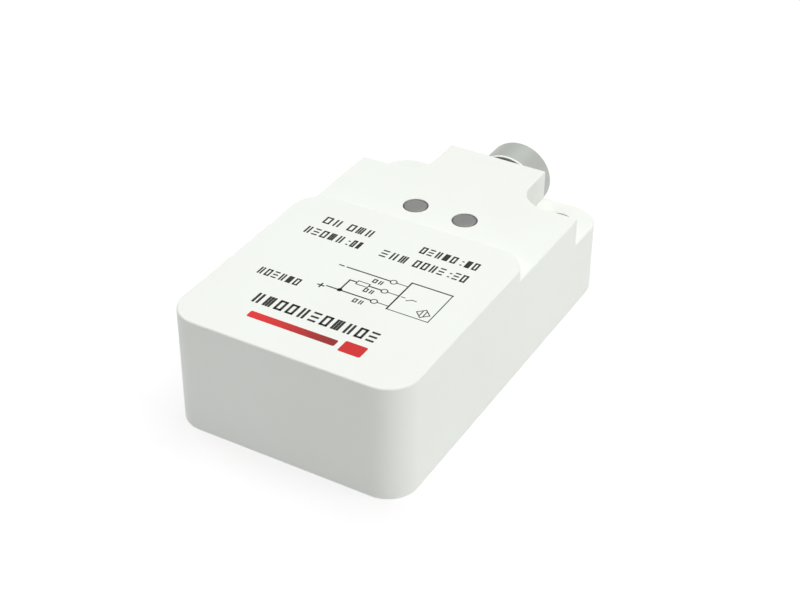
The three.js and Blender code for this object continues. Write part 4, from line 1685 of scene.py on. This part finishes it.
def redTone(look, patch):
    # bright red at one end of the stripe, deep red at the other
    x = look.axis("X")
    tone = look.shaded(x, -9 * mm, 7 * mm, ink["red"], ink["deepRed"])
    tone = look.shaded(x, 6.2 * mm, 6.4 * mm, tone, ink["blockRed"])
    return look.mixed(look.steps(patch, 0.5, 0.85) * 0.3, tone, ink["wornRed"])


def inkLine(bm, xa, ya, xb, yb, wide):
    flatLine(bm, (xa, ya), (xb, yb), wide, shellHigh.z - ink["sunk"], ink["sunk"])


def inkRing(bm, x, y, radius, wide, steps=28):
    turns = [2 * math.pi * i / steps for i in range(steps + 1)]
    spots = [(x + radius * math.cos(t), y + radius * math.sin(t)) for t in turns]
    for a, b in zip(spots, spots[1:]):
        inkLine(bm, *a, *b, wide)


def inkWord(bm, first, x0, x1, y, tall, stroke, count):
    cell = (x1 - x0) / count
    wide, reach = cell * ink["markFill"] - stroke, tall - stroke
    order = ink["markOrder"]
    for i in range(count):
        kind = order[(first + i) % len(order)] if cell > ink["narrowCell"] else i % 2
        left, low = x0 + i * cell + stroke / 2, y - reach / 2
        for ua, va, ub, vb in ink["marks"][kind]:
            inkLine(bm, left + ua * wide, low + va * reach, left + ub * wide, low + vb * reach, stroke)


def buildPrinting(black, red):
    bm = bmesh.new()
    for number, word in enumerate(ink["words"]):
        inkWord(bm, number * 3, *word)
    half, apart, wide = ink["colonDot"]
    for x, y in ink["colons"]:
        for up in (-apart, apart):
            inkLine(bm, x - half, y + up, x + half, y + up, wide)
    ringX, ringR = ink["terminal"]
    start, end = ink["terminalLine"]
    for y in ink["wireRows"]:
        inkRing(bm, ringX, y, ringR, ink["fine"])
        inkLine(bm, start, y, end, y, ink["fine"])
    for line in ink["boldLines"]:
        inkLine(bm, *line, ink["bold"])
    for line in ink["fineLines"]:
        inkLine(bm, *line, ink["fine"])
    flatDisc(bm, *ink["junction"], shellHigh.z - ink["sunk"], ink["sunk"])
    place(keepMesh(bm, "facePrinting"), black, "housing")
    for name, (x0, x1, y, tall) in ink["patches"].items():
        low = (x0 * mm, fromFront((y - tall / 2) * mm), shellHigh.z - ink["sunk"])
        high = (x1 * mm, fromFront((y + tall / 2) * mm), shellHigh.z)
        patch = block(low, high, ink["patchCorner"] * mm, cornerSteps=8)
        place(keepMesh(patch, name), red, "housing")


scene.view_settings.view_transform = "Standard"
makeCamera()
makeLights()
makeSky()
makeFloor()
print("studio ready")

buildHousing(mouldedWhite("mouldedWhite", plastic["grainDepth"]))
buildCover(mouldedWhite("mouldedCover", cover["grainDepth"]))
print("housing ready")

smokeGrey = smokePlastic()
buildLightPipe("power_light_pipe", "powerLightPipe", smokeGrey)
buildLightPipe("output_light_pipe", "outputLightPipe", smokeGrey)
sealRubber = blackRubber()
buildBarrel(satinNickel())
buildBarrelSeal(sealRubber)
print("connector ready")

buildInsert(mouldedLook("insulatorNylon", *insert["finish"], fleck=insert["fleck"]))
gold = metalLook("goldPlate", *contacts["finish"])
for number, node in enumerate(contactNodes, 1):
    buildContact(node, "contactPin" + str(number), gold)
buildInsertSeal(sealRubber)
print("contacts ready")

buildPotting(pottingResin())
buildCore(sinteredFerrite())
buildShield(metalLook("copperStrip", *shield["finish"]))
cream = mouldedLook("creamPolyester", *carrier["finish"])
buildCarrier(cream)
buildBobbin(cream)
copperWire = enamelledWire()
buildWinding(copperWire)
buildCoilLead("coil_lead_start", "coilLeadStart", -1, copperWire)
buildCoilLead("coil_lead_end", "coilLeadEnd", 1, copperWire)
print("coil ready")

tin = metalLook("tinPlate", *partFinish["tin"])
epoxy = mouldedLook("blackEpoxy", *partFinish["epoxy"])
maskedCopper = mouldedLook("maskedCopper", *board["coveredCopper"])
legendInk = mouldedLook("legendInk", *board["legend"])
buildBoard(solderMask(), maskedCopper, tin, legendInk)
buildChip(epoxy, tin)
buildPackages(epoxy, tin)
buildResistors()
buildInputCapacitor(epoxy, canLook())
buildResonanceCapacitor(filmLook())
lampBody = mouldedLook("whiteLampBody", *lamp["finish"])
greenLens = diffusedLens("greenLampLens", "power_led", *lamp["green"])
yellowLens = diffusedLens("yellowLampLens", "output_led", *lamp["yellow"])
buildLamp("power_led", "powerLamp", lampBody, greenLens, tin)
buildLamp("output_led", "outputLamp", lampBody, yellowLens, tin)
buildLeadWires()
print("board ready")

buildPrinting(inkLook("printedBlack", blackTone), inkLook("printedRed", redTone))
print("printing ready")
